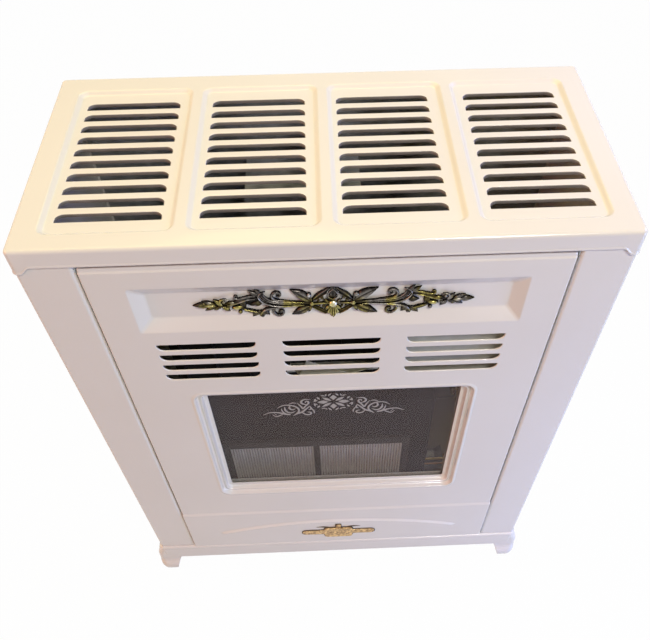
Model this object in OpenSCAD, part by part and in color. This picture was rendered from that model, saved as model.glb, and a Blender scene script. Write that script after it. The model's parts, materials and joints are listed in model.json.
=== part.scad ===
// Flued gas room heater in a free-standing sheet steel cabinet.
// The front panel hangs on two studs under the top cover and tilts out at the foot.
// X runs across the front, Y to the back, Z up. Z = 0 is the floor.

/* [Cabinet] */
// Width across the top cover and the plinth
body_w = 605; // [580:5:680]
// Depth across the top cover and the plinth
body_d = 300; // [290:5:350]
// Height of the cabinet above the plinth
cab_h = 642; // [630:2:700]
// Height of the plinth
plinth_h = 40; // [34:1:55]
// Height of the feet
foot_h = 30; // [24:1:60]
// How far a foot's toe stands out beyond the plinth
foot_flare = 11; // [4:1:16]
// Width of a foot under the plinth
foot_w = 32; // [26:1:44]

// Thickness of the enamelled sheet
sheet_t = 1.2; // [0.9:0.1:1.5]
// Clearance where two sheets lap or stand on each other
lap_gap = 0.3; // [0.2:0.05:0.4]
// Radius of the vertical corners of the cover and the plinth
corner_r = 6; // [5:0.5:12]
// Radius of the rolled top edges of the cover and the plinth
roll_r = 4; // [3:0.5:5]

/* [Top cover] */
// Depth of the cover's skirt along the front
skirt_front = 20; // [18:1:24]
// Depth of the cover's skirt along the sides, the back and the corner tabs
skirt_side = 26; // [25:1:34]
// Width of each corner tab at the front, before its S-shaped step
tab_w = 10; // [8:1:14]
// Width of the S-shaped step beside a tab
tab_step = 9; // [7:1:12]
// Number of slot banks
banks = 4; // [3:1:4]
// Distance between bank centres
bank_pitch = 141; // [138:1:144]
// Width of one pressed bank
bank_w = 128; // [124:1:132]
// Length of one pressed bank, front to back
bank_l = 246; // [240:2:250]
// Depth of the pressing
bank_sink = 3.5; // [2.5:0.5:5]
// Run of the pressing's sloped edge
bank_slope = 5; // [4:0.5:7]
// Corner radius of the pressing
bank_r = 12; // [9:1:16]
// Number of slots in one bank
top_slots = 10; // [7:1:10]
// Distance from slot to slot
top_pitch = 21.2; // [20:0.2:21.6]
// Length of a slot
top_slot_w = 103; // [96:1:106]
// Width of a slot, front to back
top_slot_d = 12.3; // [10:0.1:13]
// Radius of a slot's two rear corners
top_slot_r = 9; // [6:0.5:9.5]
// Distance from the front of the pressing to the first slot
top_slot_front = 13; // [12:0.5:14]
// Depth of the lip turned down round a slot
lip_h = 1.5; // [1:0.5:3]

/* [Front panel] */
// Width of each fixed stile beside the front panel
stile_w = 56.3; // [50:0.1:60]
// Gap between a stile and the front panel
door_gap = 2; // [1.6:0.1:2.4]
// Depth of the returns along the edges of the front panel
door_return = 16; // [14:1:18]
// Gap over and under the front panel
door_end_gap = 0.8; // [0.6:0.1:1.2]
// Bend radius along the edges of the front panel
door_r = 3; // [2:0.5:4]
// Height of the pressed steps across the front panel
step_h = 1.3; // [1:0.1:1.5]
// Distance of the upper step below the top of the front panel
ledge_drop = 7; // [6:0.5:9]
// Height of the lower step above the plinth
crease_h = 109; // [100:1:112]
// Width of the pressed tray at the face of the panel
tray_w = 405; // [390:5:420]
// Height of the pressed tray at the face of the panel
tray_h = 63; // [58:1:68]
// Depth of the pressed tray
tray_d = 9.5; // [8:0.5:12]
// Run of the tray's sloped sides at its ends
tray_run_x = 14; // [12:1:18]
// Run of the tray's sloped sides along its length
tray_run_z = 14.5; // [11:0.5:16]
// Distance of the tray's upper edge below the top of the front panel
tray_drop = 32; // [30:1:34]

/* [Front louvres] */
// Number of louvre banks
louvre_banks = 3; // [2:1:3]
// Distance between louvre banks
louvre_pitch_x = 137.6; // [130:0.2:144]
// Number of slots in one bank
louvres = 4; // [3:1:4]
// Distance from slot to slot
louvre_pitch = 16.9; // [15:0.1:17.5]
// Length of a slot
louvre_w = 110; // [98:0.2:112]
// Height of a slot
louvre_h = 11.4; // [9:0.1:12]
// Radius of a slot's two lower corners
louvre_r = 9; // [5:0.5:9]
// Distance of the first slot below the tray
louvre_drop = 19; // [17:1:22]

/* [Window] */
// Width of the opening in the front panel
window_w = 312; // [290:1:315]
// Height of the opening in the front panel
window_h = 214; // [200:1:215]
// Height of the centre of the window above the plinth
window_z = 296; // [290:1:304]
// Depth of each of the two steps round the window
frame_step = 5; // [2.5:0.5:6]
// Width of the inner step
frame_in = 5.5; // [5:0.5:7]
// Width of the outer step
frame_out = 7; // [6:0.5:9]
// Width of the raised bead round the steps
bead_w = 5; // [4:0.5:6]
// Height of the raised bead
bead_h = 1.2; // [1:0.1:1.6]
// Thickness of the glass
glass_t = 4; // [3:0.5:5]
// Lap of the glass behind the opening
glass_lap = 9; // [7:1:10]
// Thickness of the seal behind the glass edge
seal_t = 2; // [1.5:0.5:3]

/* [Arc bead, badge and ornament] */
// Span of the curved bead
arc_span = 392; // [340:2:400]
// Rise of the curved bead
arc_rise = 30.5; // [24:0.5:34]
// Height of the ends of the curved bead above the plinth
arc_z = 47; // [44:1:52]
// Radius of the curved bead's section
arc_r = 2.6; // [2.2:0.2:3]
// Width of the badge
badge_w = 116; // [100:2:130]
// Height of the badge's two arms
badge_h = 13; // [10:1:16]
// Height of the badge's middle block
badge_mid_h = 30; // [20:1:32]
// Width of the badge's middle block
badge_mid_w = 46; // [40:2:52]
// Thickness of the badge
badge_t = 3.2; // [2.4:0.2:4]
// Height of the badge's centre above the plinth
badge_z = 36; // [34:1:40]
// Length of the ornament
orn_w = 288; // [270:2:300]
// Thickness of the ornament's leaves
orn_t = 4; // [3:0.5:5]

/* [Heater] */
// Room left of the fire chamber
left_room = 108; // [96:1:114]
// Room right of the fire chamber, for the gas controls
right_room = 162; // [158:1:172]
// Depth of the fire chamber
fire_d = 150; // [130:2:160]
// Height of the fire chamber
fire_h = 250; // [240:5:270]
// Height of the fire chamber's underside above the plinth
fire_lift = 70; // [60:1:80]
// Wall of the fire chamber and the heat exchanger
fire_t = 2; // [1.5:0.5:3]
// Distance from the front of the cabinet to the fire chamber
fire_front = 54; // [50:1:60]
// Distance that the heat exchanger stands out over the fire chamber at each end
exch_over = 10; // [5:1:15]
// Depth of the heat exchanger
exch_d = 100; // [90:2:120]
// Height of the heat exchanger
exch_h = 190; // [170:5:200]
// Number of fins on each face of the heat exchanger
fins = 9; // [5:1:11]
// Outside diameter of the flue spigot
flue_dia = 100; // [80:5:110]
// Length of the flue spigot behind the cabinet
flue_out = 45; // [35:5:60]
// Height of the flue spigot's axis above the plinth
flue_z = 490; // [480:5:510]
// Diameter of a glass rod
rod_d = 3.6; // [3:0.1:3.8]
// Distance from rod to rod
rod_pitch = 4; // [4:0.1:4.2]
// Least width of the fire chamber's front beside the rods
rod_side = 37; // [34:1:60]
// Length of a glass rod
rod_l = 96; // [88:1:110]

/* [Gas controls] */
// Width of the control recess in the right side, front to back
pan_w = 150; // [130:2:160]
// Height of the control recess
pan_h = 90; // [84:2:100]
// Depth of the control recess
pan_d = 26; // [24:1:30]
// Height of the centre of the recess above the plinth
pan_z = 130; // [120:1:140]
// Distance of the centre of the recess ahead of the cabinet's middle
pan_y = 5; // [0:1:15]
// Diameter of the control knob
knob_dia = 44; // [38:1:48]
// Height of the control knob
knob_h = 20; // [16:1:21]
// Distance that the knob is pushed in to light the pilot
knob_push = 2.5; // [2:0.5:3]
// Diameter of the valve spindle
spindle_dia = 8; // [6:0.5:10]
// Running clearance on the radius of a spindle or stud
run_gap = 0.05; // [0.03:0.01:0.08]
// Diameter of the igniter button
button_dia = 16; // [14:1:18]
// Travel of the igniter button
button_travel = 5; // [4:0.5:6]
// Outside diameter of the gas inlet thread
inlet_dia = 21; // [20:0.5:22]
// Length of the gas inlet thread behind the cabinet
inlet_out = 18; // [16:1:22]
// Outside diameter of the gas pipes
pipe_dia = 12; // [10:1:14]

/* [Hidden] */
$fn = 48;

enamel = [0.96, 0.93, 0.89];
blacked = [0.12, 0.12, 0.12];
zinc = [0.68, 0.69, 0.70];
brassy = [0.78, 0.62, 0.32];

// Cabinet faces and levels
fx = body_w / 2;
fy = body_d / 2;
inset = sheet_t + lap_gap;
px = fx - inset;
py = fy - inset;
deck_z = foot_h + plinth_h;
top_z = deck_z + cab_h;
skirt_z = top_z - skirt_front;
tab_z = top_z - skirt_side;
wall_top = top_z - roll_r;
stile_x = px - stile_w;
eps = 0.5;

// Feet
foot_toe_w = foot_w - 18;
foot_post_w = foot_w - 8;

// Bends of the side panels
bend_r = 4;
return_l = 22;
rear_l = 18;
back_half = px - bend_r - lap_gap;
screw_x = px - rear_l / 2 - 2;
screw_r = 1.9;
screw_l = 8;
buffer = [20, 12, 16];

// Front panel
door_w = 2 * (stile_x - door_gap);
door_z0 = deck_z + door_end_gap;
door_z1 = skirt_z - door_end_gap;
main_y = -py;
low_y = main_y - step_h;
upper_y = main_y + step_h;
door_back = main_y + door_return;
crease_z = deck_z + crease_h;
ledge_z = door_z1 - ledge_drop;
tray_z1 = door_z1 - tray_drop;
tray_z0 = tray_z1 - tray_h;
tray_floor = main_y + tray_d;
louvre_z = tray_z0 - louvre_drop;
win_z = deck_z + window_z;
win_in_w = window_w + 2 * frame_in;
win_in_h = window_h + 2 * frame_in;
win_out_w = win_in_w + 2 * frame_out;
win_out_h = win_in_h + 2 * frame_out;
win_in_r = 7;
win_out_r = 12;
win_back = main_y + 2 * frame_step + sheet_t;
glass_y = win_back + lap_gap;
glass_w = window_w + 2 * glass_lap;
glass_h = window_h + 2 * glass_lap;
seal_w = 7;
pivot_y = main_y + 7.5;
pivot_z = door_z1 - 7.2;
stud_r = 3;
arc_radius = (arc_span * arc_span / 4 + arc_rise * arc_rise) / (2 * arc_rise);
arc_half = asin(arc_span / 2 / arc_radius);
arc_top_z = deck_z + arc_z + arc_rise;

// Fire chamber, flue and fire window
fire_w = body_w - left_room - right_room;
fire_x = (right_room - left_room) / 2;
exch_w = fire_w + 2 * exch_over;
fire_z0 = deck_z + fire_lift;
fire_z1 = fire_z0 + fire_h;
fire_y0 = -fy + fire_front;
fire_y1 = fire_y0 + fire_d;
fire_my = (fire_y0 + fire_y1) / 2;
exch_y0 = fire_my - exch_d / 2;
exch_y1 = fire_my + exch_d / 2;
exch_z1 = fire_z1 + exch_h;
fin_out = 12;
fin_t = 1.5;
fin_pitch = (exch_w - 30) / (fins - 1);
collar_r = 44;
collar_z = exch_z1 - collar_r - 14;
flue_zc = deck_z + flue_z;
flue_stop = 5;
hood_w = 140;
hood_z0 = min(collar_z, flue_zc) - collar_r - 16;
hood_z1 = flue_zc + flue_dia / 2 + 14;
hood_y0 = exch_y1 + 10;
hood_y1 = py - sheet_t - lap_gap - sheet_t - 16;
bar_w = 8;
rods_half = floor((fire_w / 2 - rod_side - bar_w / 2) / rod_pitch);
rods_w = 2 * rods_half * rod_pitch + bar_w;
rods_rim = 10;
rod_z = fire_z0 + 109;
frame_lap = 4;
frame_d = 6;
frame_y = fire_y0 - frame_d;
channel_d = rod_d + 0.2;
rod_y = fire_y0 - 1.2 - channel_d / 2;
burner_r = 20;
burner_z = fire_z0 + 40;
burner_y = fire_y0 + 38;
burner_x0 = -fire_x - fire_w / 2 + 8;
burner_x1 = -fire_x + fire_w / 2 - 33;
fire_x1 = -fire_x + fire_w / 2;
mixer_r = 14;
shield_x = 16;
shield_w = 112;
shield_h = 68;
shield_drop = 14;
deflector_back = 15;
deflector_z1 = louvre_z - (louvres - 1) * louvre_pitch - 2.7;
deflector_z0 = deflector_z1 - 26;
deflector_fall = 36;
deflector_lip = 17;
deflector_half = 60;
wing_x0 = 76;
wing_w = 139;
wing_h = 75;
wing_foot = 74;
bracket_w = 36;
bracket_drop = 34;
bracket_h = 50;
tube_t = 1.5;
mixer_x1 = fire_x1 + 22;
bell_l = 12;
ports = 36;

// Gas controls
ctrl_z = deck_z + pan_z;
knob_y = -pan_y - 35;
button_y = -pan_y + 35;
pan_back = px - sheet_t - pan_d;
pan_r = 12;
pan_flange = 12;
spindle_r = spindle_dia / 2;
spindle_end = pan_back + knob_push + 0.5 + knob_h - 4;
knob_x0 = pan_back + knob_push + 0.5;
valve_x1 = pan_back - sheet_t - 8;
valve_x0 = valve_x1 - 50;
valve_port_x = valve_x0 - 8;
inlet_x = (valve_x0 + valve_x1) / 2 - 8;
inlet_z = deck_z + 60;
inlet_stop = 1;
inlet_r = inlet_dia / 2 + 1.5;
inlet_in = 34;
elbow_r = 24;
pipe_r = pipe_dia / 2;
pilot_x = 60;
pilot_y = burner_y - burner_r - 1;
pilot_z = burner_z + burner_r;
button_r = button_dia / 2;
piezo_l = 46;

// Middle of the whole footprint, toes to flue, so that the row frame sits under it
row_y = -((fy + flue_out) - max(fy + foot_flare, badge_t - low_y)) / 2;

module place() translate([0, row_y, 0]) children();

// Plane shapes
module rounded_plan(w, d, r) {
  square([w, d - 2 * r], center = true);
  square([w - 2 * r, d], center = true);
  for (sx = [-1, 1], sy = [-1, 1])
    translate([sx * (w / 2 - r), sy * (d / 2 - r)]) circle(r);
}

module round_top(w, h, r) {
  translate([-w / 2, 0]) square([w, h - r]);
  translate([-w / 2 + r, 0]) square([w - 2 * r, h]);
  for (s = [-1, 1]) translate([s * (w / 2 - r), h - r]) circle(r);
}

// Slot with one straight edge on the X axis and two rounded corners below it
module slot_shape(w, h, r) intersection() {
  translate([-w / 2, -h]) square([w, h]);
  union() {
    translate([-w / 2, r - h]) square([w, r + h]);
    translate([-w / 2 + r, -h]) square([w - 2 * r, h + r]);
    for (s = [-1, 1]) translate([s * (w / 2 - r), r - h]) circle(r);
  }
}

function arc_points(cx, cy, r, a0, a1, n) =
  [for (k = [0:n]) let (a = a0 + (a1 - a0) * k / n) [cx + r * cos(a), cy + r * sin(a)]];

// Solids drawn in the front plane, from y0 towards the back by d
module front_extrude(y0, d) translate([0, y0 + d, 0]) rotate([90, 0, 0]) linear_extrude(d) children();

module side_extrude(x0, d) translate([x0, 0, 0]) rotate([90, 0, 90]) linear_extrude(d) children();

module along_x(x0, x1, y, z, r) translate([x0, y, z]) rotate([0, 90, 0]) cylinder(h = x1 - x0, r = r);

module along_y(y0, y1, x, z, r) translate([x, y0, z]) rotate([-90, 0, 0]) cylinder(h = y1 - y0, r = r);

module tube_x(x0, x1, y, z, r, wall) difference() {
  along_x(x0, x1, y, z, r);
  along_x(x0 - eps, x1 + eps, y, z, r - wall);
}

module hex_x(x0, x1, y, z, r) translate([x0, y, z]) rotate([0, 90, 0]) cylinder(h = x1 - x0, r = r, $fn = 6);

// Drawn pan: upright sides, rounded corners and rolled top edges
module pan_form(w, d, h, corner, edge) intersection() {
  linear_extrude(h) rounded_plan(w, d, corner);
  translate([0, d / 2, 0]) rotate([90, 0, 0]) linear_extrude(d) round_top(w, h, edge);
  translate([-w / 2, 0, 0]) rotate([90, 0, 90]) linear_extrude(w) round_top(d, h, edge);
}

module drawn_shell(w, d, h, corner, edge) difference() {
  pan_form(w, d, h, corner, edge);
  translate([0, 0, -1])
    pan_form(w - 2 * sheet_t, d - 2 * sheet_t, h - sheet_t + 1, corner - sheet_t, edge - sheet_t);
}

// Plinth and feet
module base_plinth() color(enamel) place() difference() {
  translate([0, 0, foot_h]) drawn_shell(body_w, body_d, plinth_h, corner_r, roll_r);
  for (x = [-150, 0, 150], y = [-60, 20])
    translate([x, y, deck_z - 2 * sheet_t]) linear_extrude(3 * sheet_t) rounded_plan(90, 16, 7.9);
}

// Outline of a foot from the side: X = 0 is the plinth's face, positive outwards
module foot_outline() {
  n = 8;
  neck = 0.58 * foot_h;
  toe = 0.22 * foot_h;
  polygon(concat(
    [[-foot_w, foot_h], [-foot_toe_w, toe * 0.5], [-foot_toe_w + 2, 0], [foot_flare - 4, 0],
      [foot_flare - 1, toe * 0.35]],
    [for (k = [0:n]) let (a = 90 - 90 * k / n) [foot_flare * (1 - cos(a)), neck - (neck - toe) * sin(a)]],
    [[0, foot_h]]
  ));
}

// One corner foot, for the corner on side sx and sy
module foot(sx, sy) color(enamel) place() {
  mirror([sx < 0 ? 1 : 0, 0, 0]) mirror([0, sy < 0 ? 1 : 0, 0]) {
    intersection() {
      translate([fx, fy + foot_flare, 0]) rotate([90, 0, 0]) linear_extrude(foot_w + 2 * foot_flare) foot_outline();
      translate([fx - foot_w - foot_flare, fy, 0]) rotate([90, 0, 90])
        linear_extrude(foot_w + 2 * foot_flare) foot_outline();
      translate([fx - foot_w / 2 - 10, fy - foot_w / 2 - 10, 0])
        linear_extrude(foot_h) rounded_plan(foot_w + 2 * foot_flare + 20, foot_w + 2 * foot_flare + 20, corner_r + foot_flare);
    }
    translate([px - foot_post_w / 2, py - foot_post_w / 2, foot_h - eps])
      linear_extrude(plinth_h - roll_r + eps) rounded_plan(foot_post_w, foot_post_w, corner_r - inset);
  }
}

module foot_front_left() {
  foot(-1, -1);
}

module foot_front_right() {
  foot(1, -1);
}

module foot_rear_left() {
  foot(-1, 1);
}

module foot_rear_right() {
  foot(1, 1);
}

// Side panel with its front stile and both returns, drawn as the left one; holes on the right only
screw_z = [for (k = [0:3]) deck_z + 40 + k * (cab_h - 120) / 3];

module side_plan() difference() {
  union() {
    translate([-px, -py + bend_r]) square([sheet_t, 2 * (py - bend_r)]);
    difference() {
      translate([-px + stile_w / 2, -py + 30]) rounded_plan(stile_w, 60, bend_r);
      translate([-px + stile_w / 2, -py + 30 + sheet_t])
        rounded_plan(stile_w - 2 * sheet_t, 60, bend_r - sheet_t);
      translate([-px + sheet_t, -py + return_l]) square([stile_w, 60]);
      translate([-px - 1, -py + bend_r + 1]) square([stile_w / 2, 80]);
    }
    difference() {
      translate([-px + rear_l, py - 15]) rounded_plan(2 * rear_l, 30, bend_r);
      translate([-px + rear_l, py - 15 - sheet_t])
        rounded_plan(2 * (rear_l - sheet_t), 30, bend_r - sheet_t);
      translate([-px + rear_l, py - 40]) square([2 * rear_l, 50]);
      translate([-px - 1, py - 40]) square([2 * rear_l, 39 - bend_r]);
    }
  }
}

module side_shell() difference() {
  translate([0, 0, deck_z]) linear_extrude(wall_top - deck_z) side_plan();
  for (z = screw_z) along_y(py - 3, py + 1, -screw_x, z, screw_r + 0.2);
}

module side_panel_left() color(enamel) place() side_shell();

module side_panel_right() color(enamel) place() difference() {
  mirror([1, 0, 0]) side_shell();
  side_extrude(px - 2 * sheet_t, 3 * sheet_t)
    translate([-pan_y, ctrl_z]) rounded_plan(pan_w, pan_h, pan_r);
}

module back_panel() color(zinc) place() difference() {
  translate([-back_half, py - 2 * sheet_t - lap_gap, deck_z + lap_gap])
    cube([2 * back_half, sheet_t, wall_top - deck_z - 1]);
  along_y(py - 10, py + 1, -fire_x, flue_zc, flue_dia / 2 + 2);
  along_y(py - 10, py + 1, inlet_x, inlet_z, inlet_r + lap_gap);
  for (sx = [-1, 1], z = screw_z) along_y(py - 10, py + 1, sx * screw_x, z, screw_r + 0.2);
  front_extrude(py - 10, 11)
    for (x = [-190, -80, 30], k = [0:3])
      translate([x, deck_z + 60 + 24 * k]) rounded_plan(84, 9, 4.4);
}

// Top cover
function bank_x(i) = (i - (banks - 1) / 2) * bank_pitch;
slot_y0 = -bank_l / 2 + top_slot_front;

module slot_field(grow) for (i = [0:banks - 1], j = [0:top_slots - 1])
  translate([bank_x(i), slot_y0 + j * top_pitch]) mirror([0, 1])
    slot_shape(top_slot_w + 2 * grow, top_slot_d + grow, top_slot_r + grow);

function s_step(t) = 0.5 - 0.5 * cos(180 * t);

// Front view of what is cut away under the front skirt, between the corner tabs
module skirt_relief() {
  n = 8;
  half = fx - tab_w;
  polygon(concat(
    [for (k = [0:n]) [-half + tab_step * k / n, tab_z - 1 + (skirt_z - tab_z + 1) * s_step(k / n)]],
    [for (k = [0:n]) [half - tab_step * (n - k) / n, tab_z - 1 + (skirt_z - tab_z + 1) * s_step((n - k) / n)]]
  ));
}

module top_cover() color(enamel) place() difference() {
  union() {
    translate([0, 0, tab_z]) drawn_shell(body_w, body_d, skirt_side, corner_r, roll_r);
    for (i = [0:banks - 1])
      translate([bank_x(i), 0, top_z - bank_sink - sheet_t])
        linear_extrude(bank_sink + sheet_t / 2) rounded_plan(bank_w, bank_l, bank_r);
    translate([0, 0, top_z - bank_sink - lip_h - sheet_t / 2])
      linear_extrude(lip_h) slot_field(sheet_t);
  }
  for (i = [0:banks - 1]) hull() {
    translate([bank_x(i), 0, top_z - bank_sink]) linear_extrude(0.01)
      rounded_plan(bank_w - 2 * bank_slope, bank_l - 2 * bank_slope, bank_r - bank_slope, $fn = 24);
    translate([bank_x(i), 0, top_z]) linear_extrude(0.01) rounded_plan(bank_w, bank_l, bank_r, $fn = 24);
  }
  translate([0, 0, top_z - 20]) linear_extrude(30) slot_field(0);
  front_extrude(-fy - 1, sheet_t + 4) skirt_relief();
}

// Pressed pan behind the cut-out in the right side, with the two control holes
module control_pan() color(enamel) place() difference() {
  union() {
    side_extrude(px - 2 * sheet_t, sheet_t)
      translate([-pan_y, ctrl_z]) rounded_plan(pan_w + 2 * pan_flange, pan_h + 2 * pan_flange, pan_r);
    side_extrude(pan_back - sheet_t, pan_d)
      translate([-pan_y, ctrl_z]) rounded_plan(pan_w, pan_h, pan_r);
  }
  side_extrude(pan_back, pan_d + 4 * sheet_t)
    translate([-pan_y, ctrl_z]) rounded_plan(pan_w - 2 * sheet_t, pan_h - 2 * sheet_t, pan_r - sheet_t);
  along_x(pan_back - 3, pan_back + 3, knob_y, ctrl_z, spindle_r + 1);
  along_x(pan_back - 3, pan_back + 3, button_y, ctrl_z, button_r + run_gap);
}

// Front panel
function door_face(grow) = concat(
  [[door_back + 2 * grow, door_z0 + grow]],
  arc_points(low_y + door_r, door_z0 + door_r, door_r - grow, 270, 180, 4),
  [[low_y + grow, crease_z - grow / 2], [main_y + grow, crease_z + step_h - grow / 2]],
  [[main_y + grow, ledge_z - grow / 2], [upper_y + grow, ledge_z + step_h - grow / 2]],
  arc_points(upper_y + door_r, door_z1 - door_r, door_r - grow, 180, 90, 4),
  [[door_back + 2 * grow, door_z1 - grow]]
);

module door_form(grow) intersection() {
  side_extrude(-door_w / 2 - 1, door_w + 2) polygon(door_face(grow));
  translate([0, 0, door_z0 - 1]) linear_extrude(door_z1 - door_z0 + 2)
    translate([0, low_y + grow + 50]) rounded_plan(door_w - 2 * grow, 100, door_r - grow);
}

// Frustum pressed into the front face: mouth at the face, floor at the tray's depth
module tray_form(grow) {
  mouth = tray_w / 2 + grow;
  floor_x = mouth - tray_run_x;
  y1 = tray_floor + grow;
  mid = (tray_z0 + tray_z1) / 2;
  mouth_z = tray_h / 2 + grow;
  floor_z = mouth_z - tray_run_z;
  y0 = main_y + grow / 2;
  intersection() {
    translate([0, 0, tray_z0 - 5]) linear_extrude(tray_h + 10) polygon([
      [-mouth, y0 - 2 + 2 * grow / sheet_t], [mouth, y0 - 2 + 2 * grow / sheet_t],
      [mouth, y0], [floor_x, y1], [-floor_x, y1], [-mouth, y0]
    ]);
    side_extrude(-mouth - 1, 2 * mouth + 2) polygon([
      [y0 - 2 + 2 * grow / sheet_t, mid - mouth_z], [y0, mid - mouth_z], [y1, mid - floor_z],
      [y1, mid + floor_z], [y0, mid + mouth_z], [y0 - 2 + 2 * grow / sheet_t, mid + mouth_z]
    ]);
  }
}

module louvre_field(grow) for (i = [0:louvre_banks - 1], j = [0:louvres - 1])
  translate([(i - (louvre_banks - 1) / 2) * louvre_pitch_x, louvre_z - j * louvre_pitch])
    slot_shape(louvre_w + 2 * grow, louvre_h + grow, louvre_r + grow);

module window_plan(w, h, r, grow) translate([0, win_z]) rounded_plan(w + 2 * grow, h + 2 * grow, r + grow);

// Curved bead: a round bar bent to the arc, half sunk in the face
module arc_bead() translate([0, low_y + 0.9, arc_top_z - arc_radius]) rotate([90, 0, 0])
  rotate([0, 0, 90 - arc_half]) rotate_extrude(angle = 2 * arc_half, $fn = 96)
    translate([arc_radius, 0]) circle(arc_r, $fn = 16);

module front_panel() color(enamel) place() difference() {
  union() {
    difference() {
      door_form(0);
      door_form(sheet_t);
    }
    tray_form(sheet_t);
    front_extrude(main_y - bead_h, bead_h + sheet_t / 2)
      window_plan(win_out_w, win_out_h, win_out_r, bead_w);
    front_extrude(main_y + sheet_t / 2, frame_step + sheet_t / 2)
      window_plan(win_out_w, win_out_h, win_out_r, sheet_t);
    front_extrude(main_y + frame_step, frame_step + sheet_t)
      window_plan(win_in_w, win_in_h, win_in_r, sheet_t);
    front_extrude(main_y + sheet_t / 2, lip_h) louvre_field(sheet_t);
    arc_bead();
  }
  tray_form(0);
  front_extrude(main_y - 5, 5 + frame_step) window_plan(win_out_w, win_out_h, win_out_r, 0);
  front_extrude(main_y, 2 * frame_step) window_plan(win_in_w, win_in_h, win_in_r, 0);
  front_extrude(main_y, 20) window_plan(window_w, window_h, 3, 0);
  front_extrude(main_y - 5, 20) louvre_field(0);
  along_x(-door_w / 2 - 1, -door_w / 2 + 3, pivot_y, pivot_z, stud_r + run_gap);
  along_x(door_w / 2 - 3, door_w / 2 + 1, pivot_y, pivot_z, stud_r + run_gap);
}

module window_glass() color([0.25, 0.22, 0.21, 0.6]) place()
  front_extrude(glass_y, glass_t) translate([0, win_z]) rounded_plan(glass_w, glass_h, 3);

module glass_seal() color([0.85, 0.84, 0.8]) place() front_extrude(glass_y + glass_t, seal_t)
  translate([0, win_z]) difference() {
    rounded_plan(glass_w, glass_h, 3);
    rounded_plan(glass_w - 2 * seal_w, glass_h - 2 * seal_w, 3);
  }

// Z-shaped spring clip: its foot lies on the panel, its arm presses the seal
clip_gap = 6;
clip_w = 18;
module clip() {
  seat = main_y + sheet_t;
  arm = glass_y + glass_t + seal_t;
  linear_extrude(clip_w, center = true) polygon([
    [clip_gap, seat], [clip_gap + 14, seat], [clip_gap + 14, seat + sheet_t],
    [clip_gap + sheet_t, seat + sheet_t], [clip_gap + sheet_t, arm + sheet_t],
    [-seal_w + 1, arm + sheet_t], [-seal_w + 1, arm], [clip_gap, arm]
  ]);
}

module glass_clips() color(zinc) place() translate([0, 0, win_z]) {
  for (sx = [0, 1], z = [-60, 60])
    mirror([sx, 0, 0]) translate([glass_w / 2, 0, z]) clip();
  for (sz = [-90, 90], x = [-90, 90])
    rotate([0, sz, 0]) translate([glass_h / 2, 0, x]) clip();
}

// Cast ornament: a middle flower and, to each side, a stem with leaves and scrolls
module leaf(l, w, n = 6) polygon(concat(
  [for (k = [0:n]) [l * k / n, w / 2 * sin(180 * k / n)]],
  [for (k = [1:n - 1]) [l * (n - k) / n, -w / 2 * sin(180 * k / n)]]
));

// Spiral band that starts at the origin and curls up to its middle
module curl(r, w, turns = 1.2, n = 14) {
  function rad(t) = r * (1 - 0.75 * t);
  function mid(t) = let (a = -90 + 360 * turns * t) [rad(t) * cos(a), r + rad(t) * sin(a)];
  function edge(t, s) = let (a = -90 + 360 * turns * t, h = s * w / 2 * (1 - 0.5 * t))
    [(rad(t) + h) * cos(a), r + (rad(t) + h) * sin(a)];
  polygon(concat([for (k = [0:n]) edge(k / n, 1)], [for (k = [n:-1:0]) edge(k / n, -1)]));
}

module ornament_side() {
  half = orn_w / 2;
  polygon([[14, 2.2], [half * 0.55, 1.6], [half * 0.86, 1.2], [half, 0], [half * 0.86, -1.2],
    [half * 0.55, -1.6], [14, -2.2]]);
  for (s = [-1, 1]) {
    translate([half * 0.2, 0]) rotate(s * 38) leaf(26, 9);
    translate([half * 0.5, 0]) rotate(s * 28) leaf(30, 8);
    translate([half * 0.66, 0]) rotate(s * 34) leaf(17, 6);
    translate([half * 0.8, 0]) rotate(s * 36) leaf(12, 5);
    translate([half * 0.34, 0]) mirror([0, s < 0 ? 1 : 0]) curl(6, 2.4);
    translate([half * 0.6, 0]) mirror([0, s < 0 ? 1 : 0]) mirror([1, 0]) curl(6.5, 2.4);
  }
  translate([half * 0.9, 0]) leaf(half * 0.1, 4);
}

module scroll_ornament() color([0.35, 0.3, 0.2]) place() {
  orn_z = (tray_z0 + tray_z1) / 2;
  petal = tray_h / 2 - tray_run_z - 0.5;
  translate([0, tray_floor, orn_z]) rotate([90, 0, 0]) {
    linear_extrude(orn_t * 0.7) {
      ornament_side();
      mirror([1, 0]) ornament_side();
      for (a = [0:45:315]) rotate(a) leaf(petal, petal / 2);
      for (a = [-90, 90]) rotate(a) leaf(petal, petal * 0.8);
    }
    linear_extrude(orn_t) for (a = [22.5:45:360]) rotate(a) leaf(12, 5);
    cylinder(h = orn_t + 1.5, r = 4);
  }
}

// Badge left bare: two arms, a raised middle block and a small finial
module badge() color(brassy) place() translate([0, low_y, deck_z + badge_z]) rotate([90, 0, 0]) {
  linear_extrude(badge_t * 0.75) {
    rounded_plan(badge_w, badge_h, badge_h / 2 - 0.1);
    translate([0, badge_mid_h / 2]) leaf(34, 5);
    translate([0, badge_mid_h / 2]) mirror([1, 0]) leaf(34, 5);
    translate([-4, badge_mid_h / 2 - 1]) square([8, 11]);
  }
  linear_extrude(badge_t) rounded_plan(badge_mid_w, badge_mid_h, 4);
}

// Hinge studs and buffers of the front panel
module pivot_studs() color(zinc) place() for (s = [0, 1]) mirror([s, 0, 0]) {
  along_x(door_w / 2 - sheet_t - 4, stile_x, pivot_y, pivot_z, stud_r);
  along_x(stile_x - door_gap * 0.6, stile_x, pivot_y, pivot_z, stud_r + 2);
}

module door_buffers() color(blacked) place() for (s = [-1, 1])
  translate([s * door_w * 0.36 - buffer[0] / 2, door_back + lap_gap, deck_z]) cube(buffer);

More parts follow.
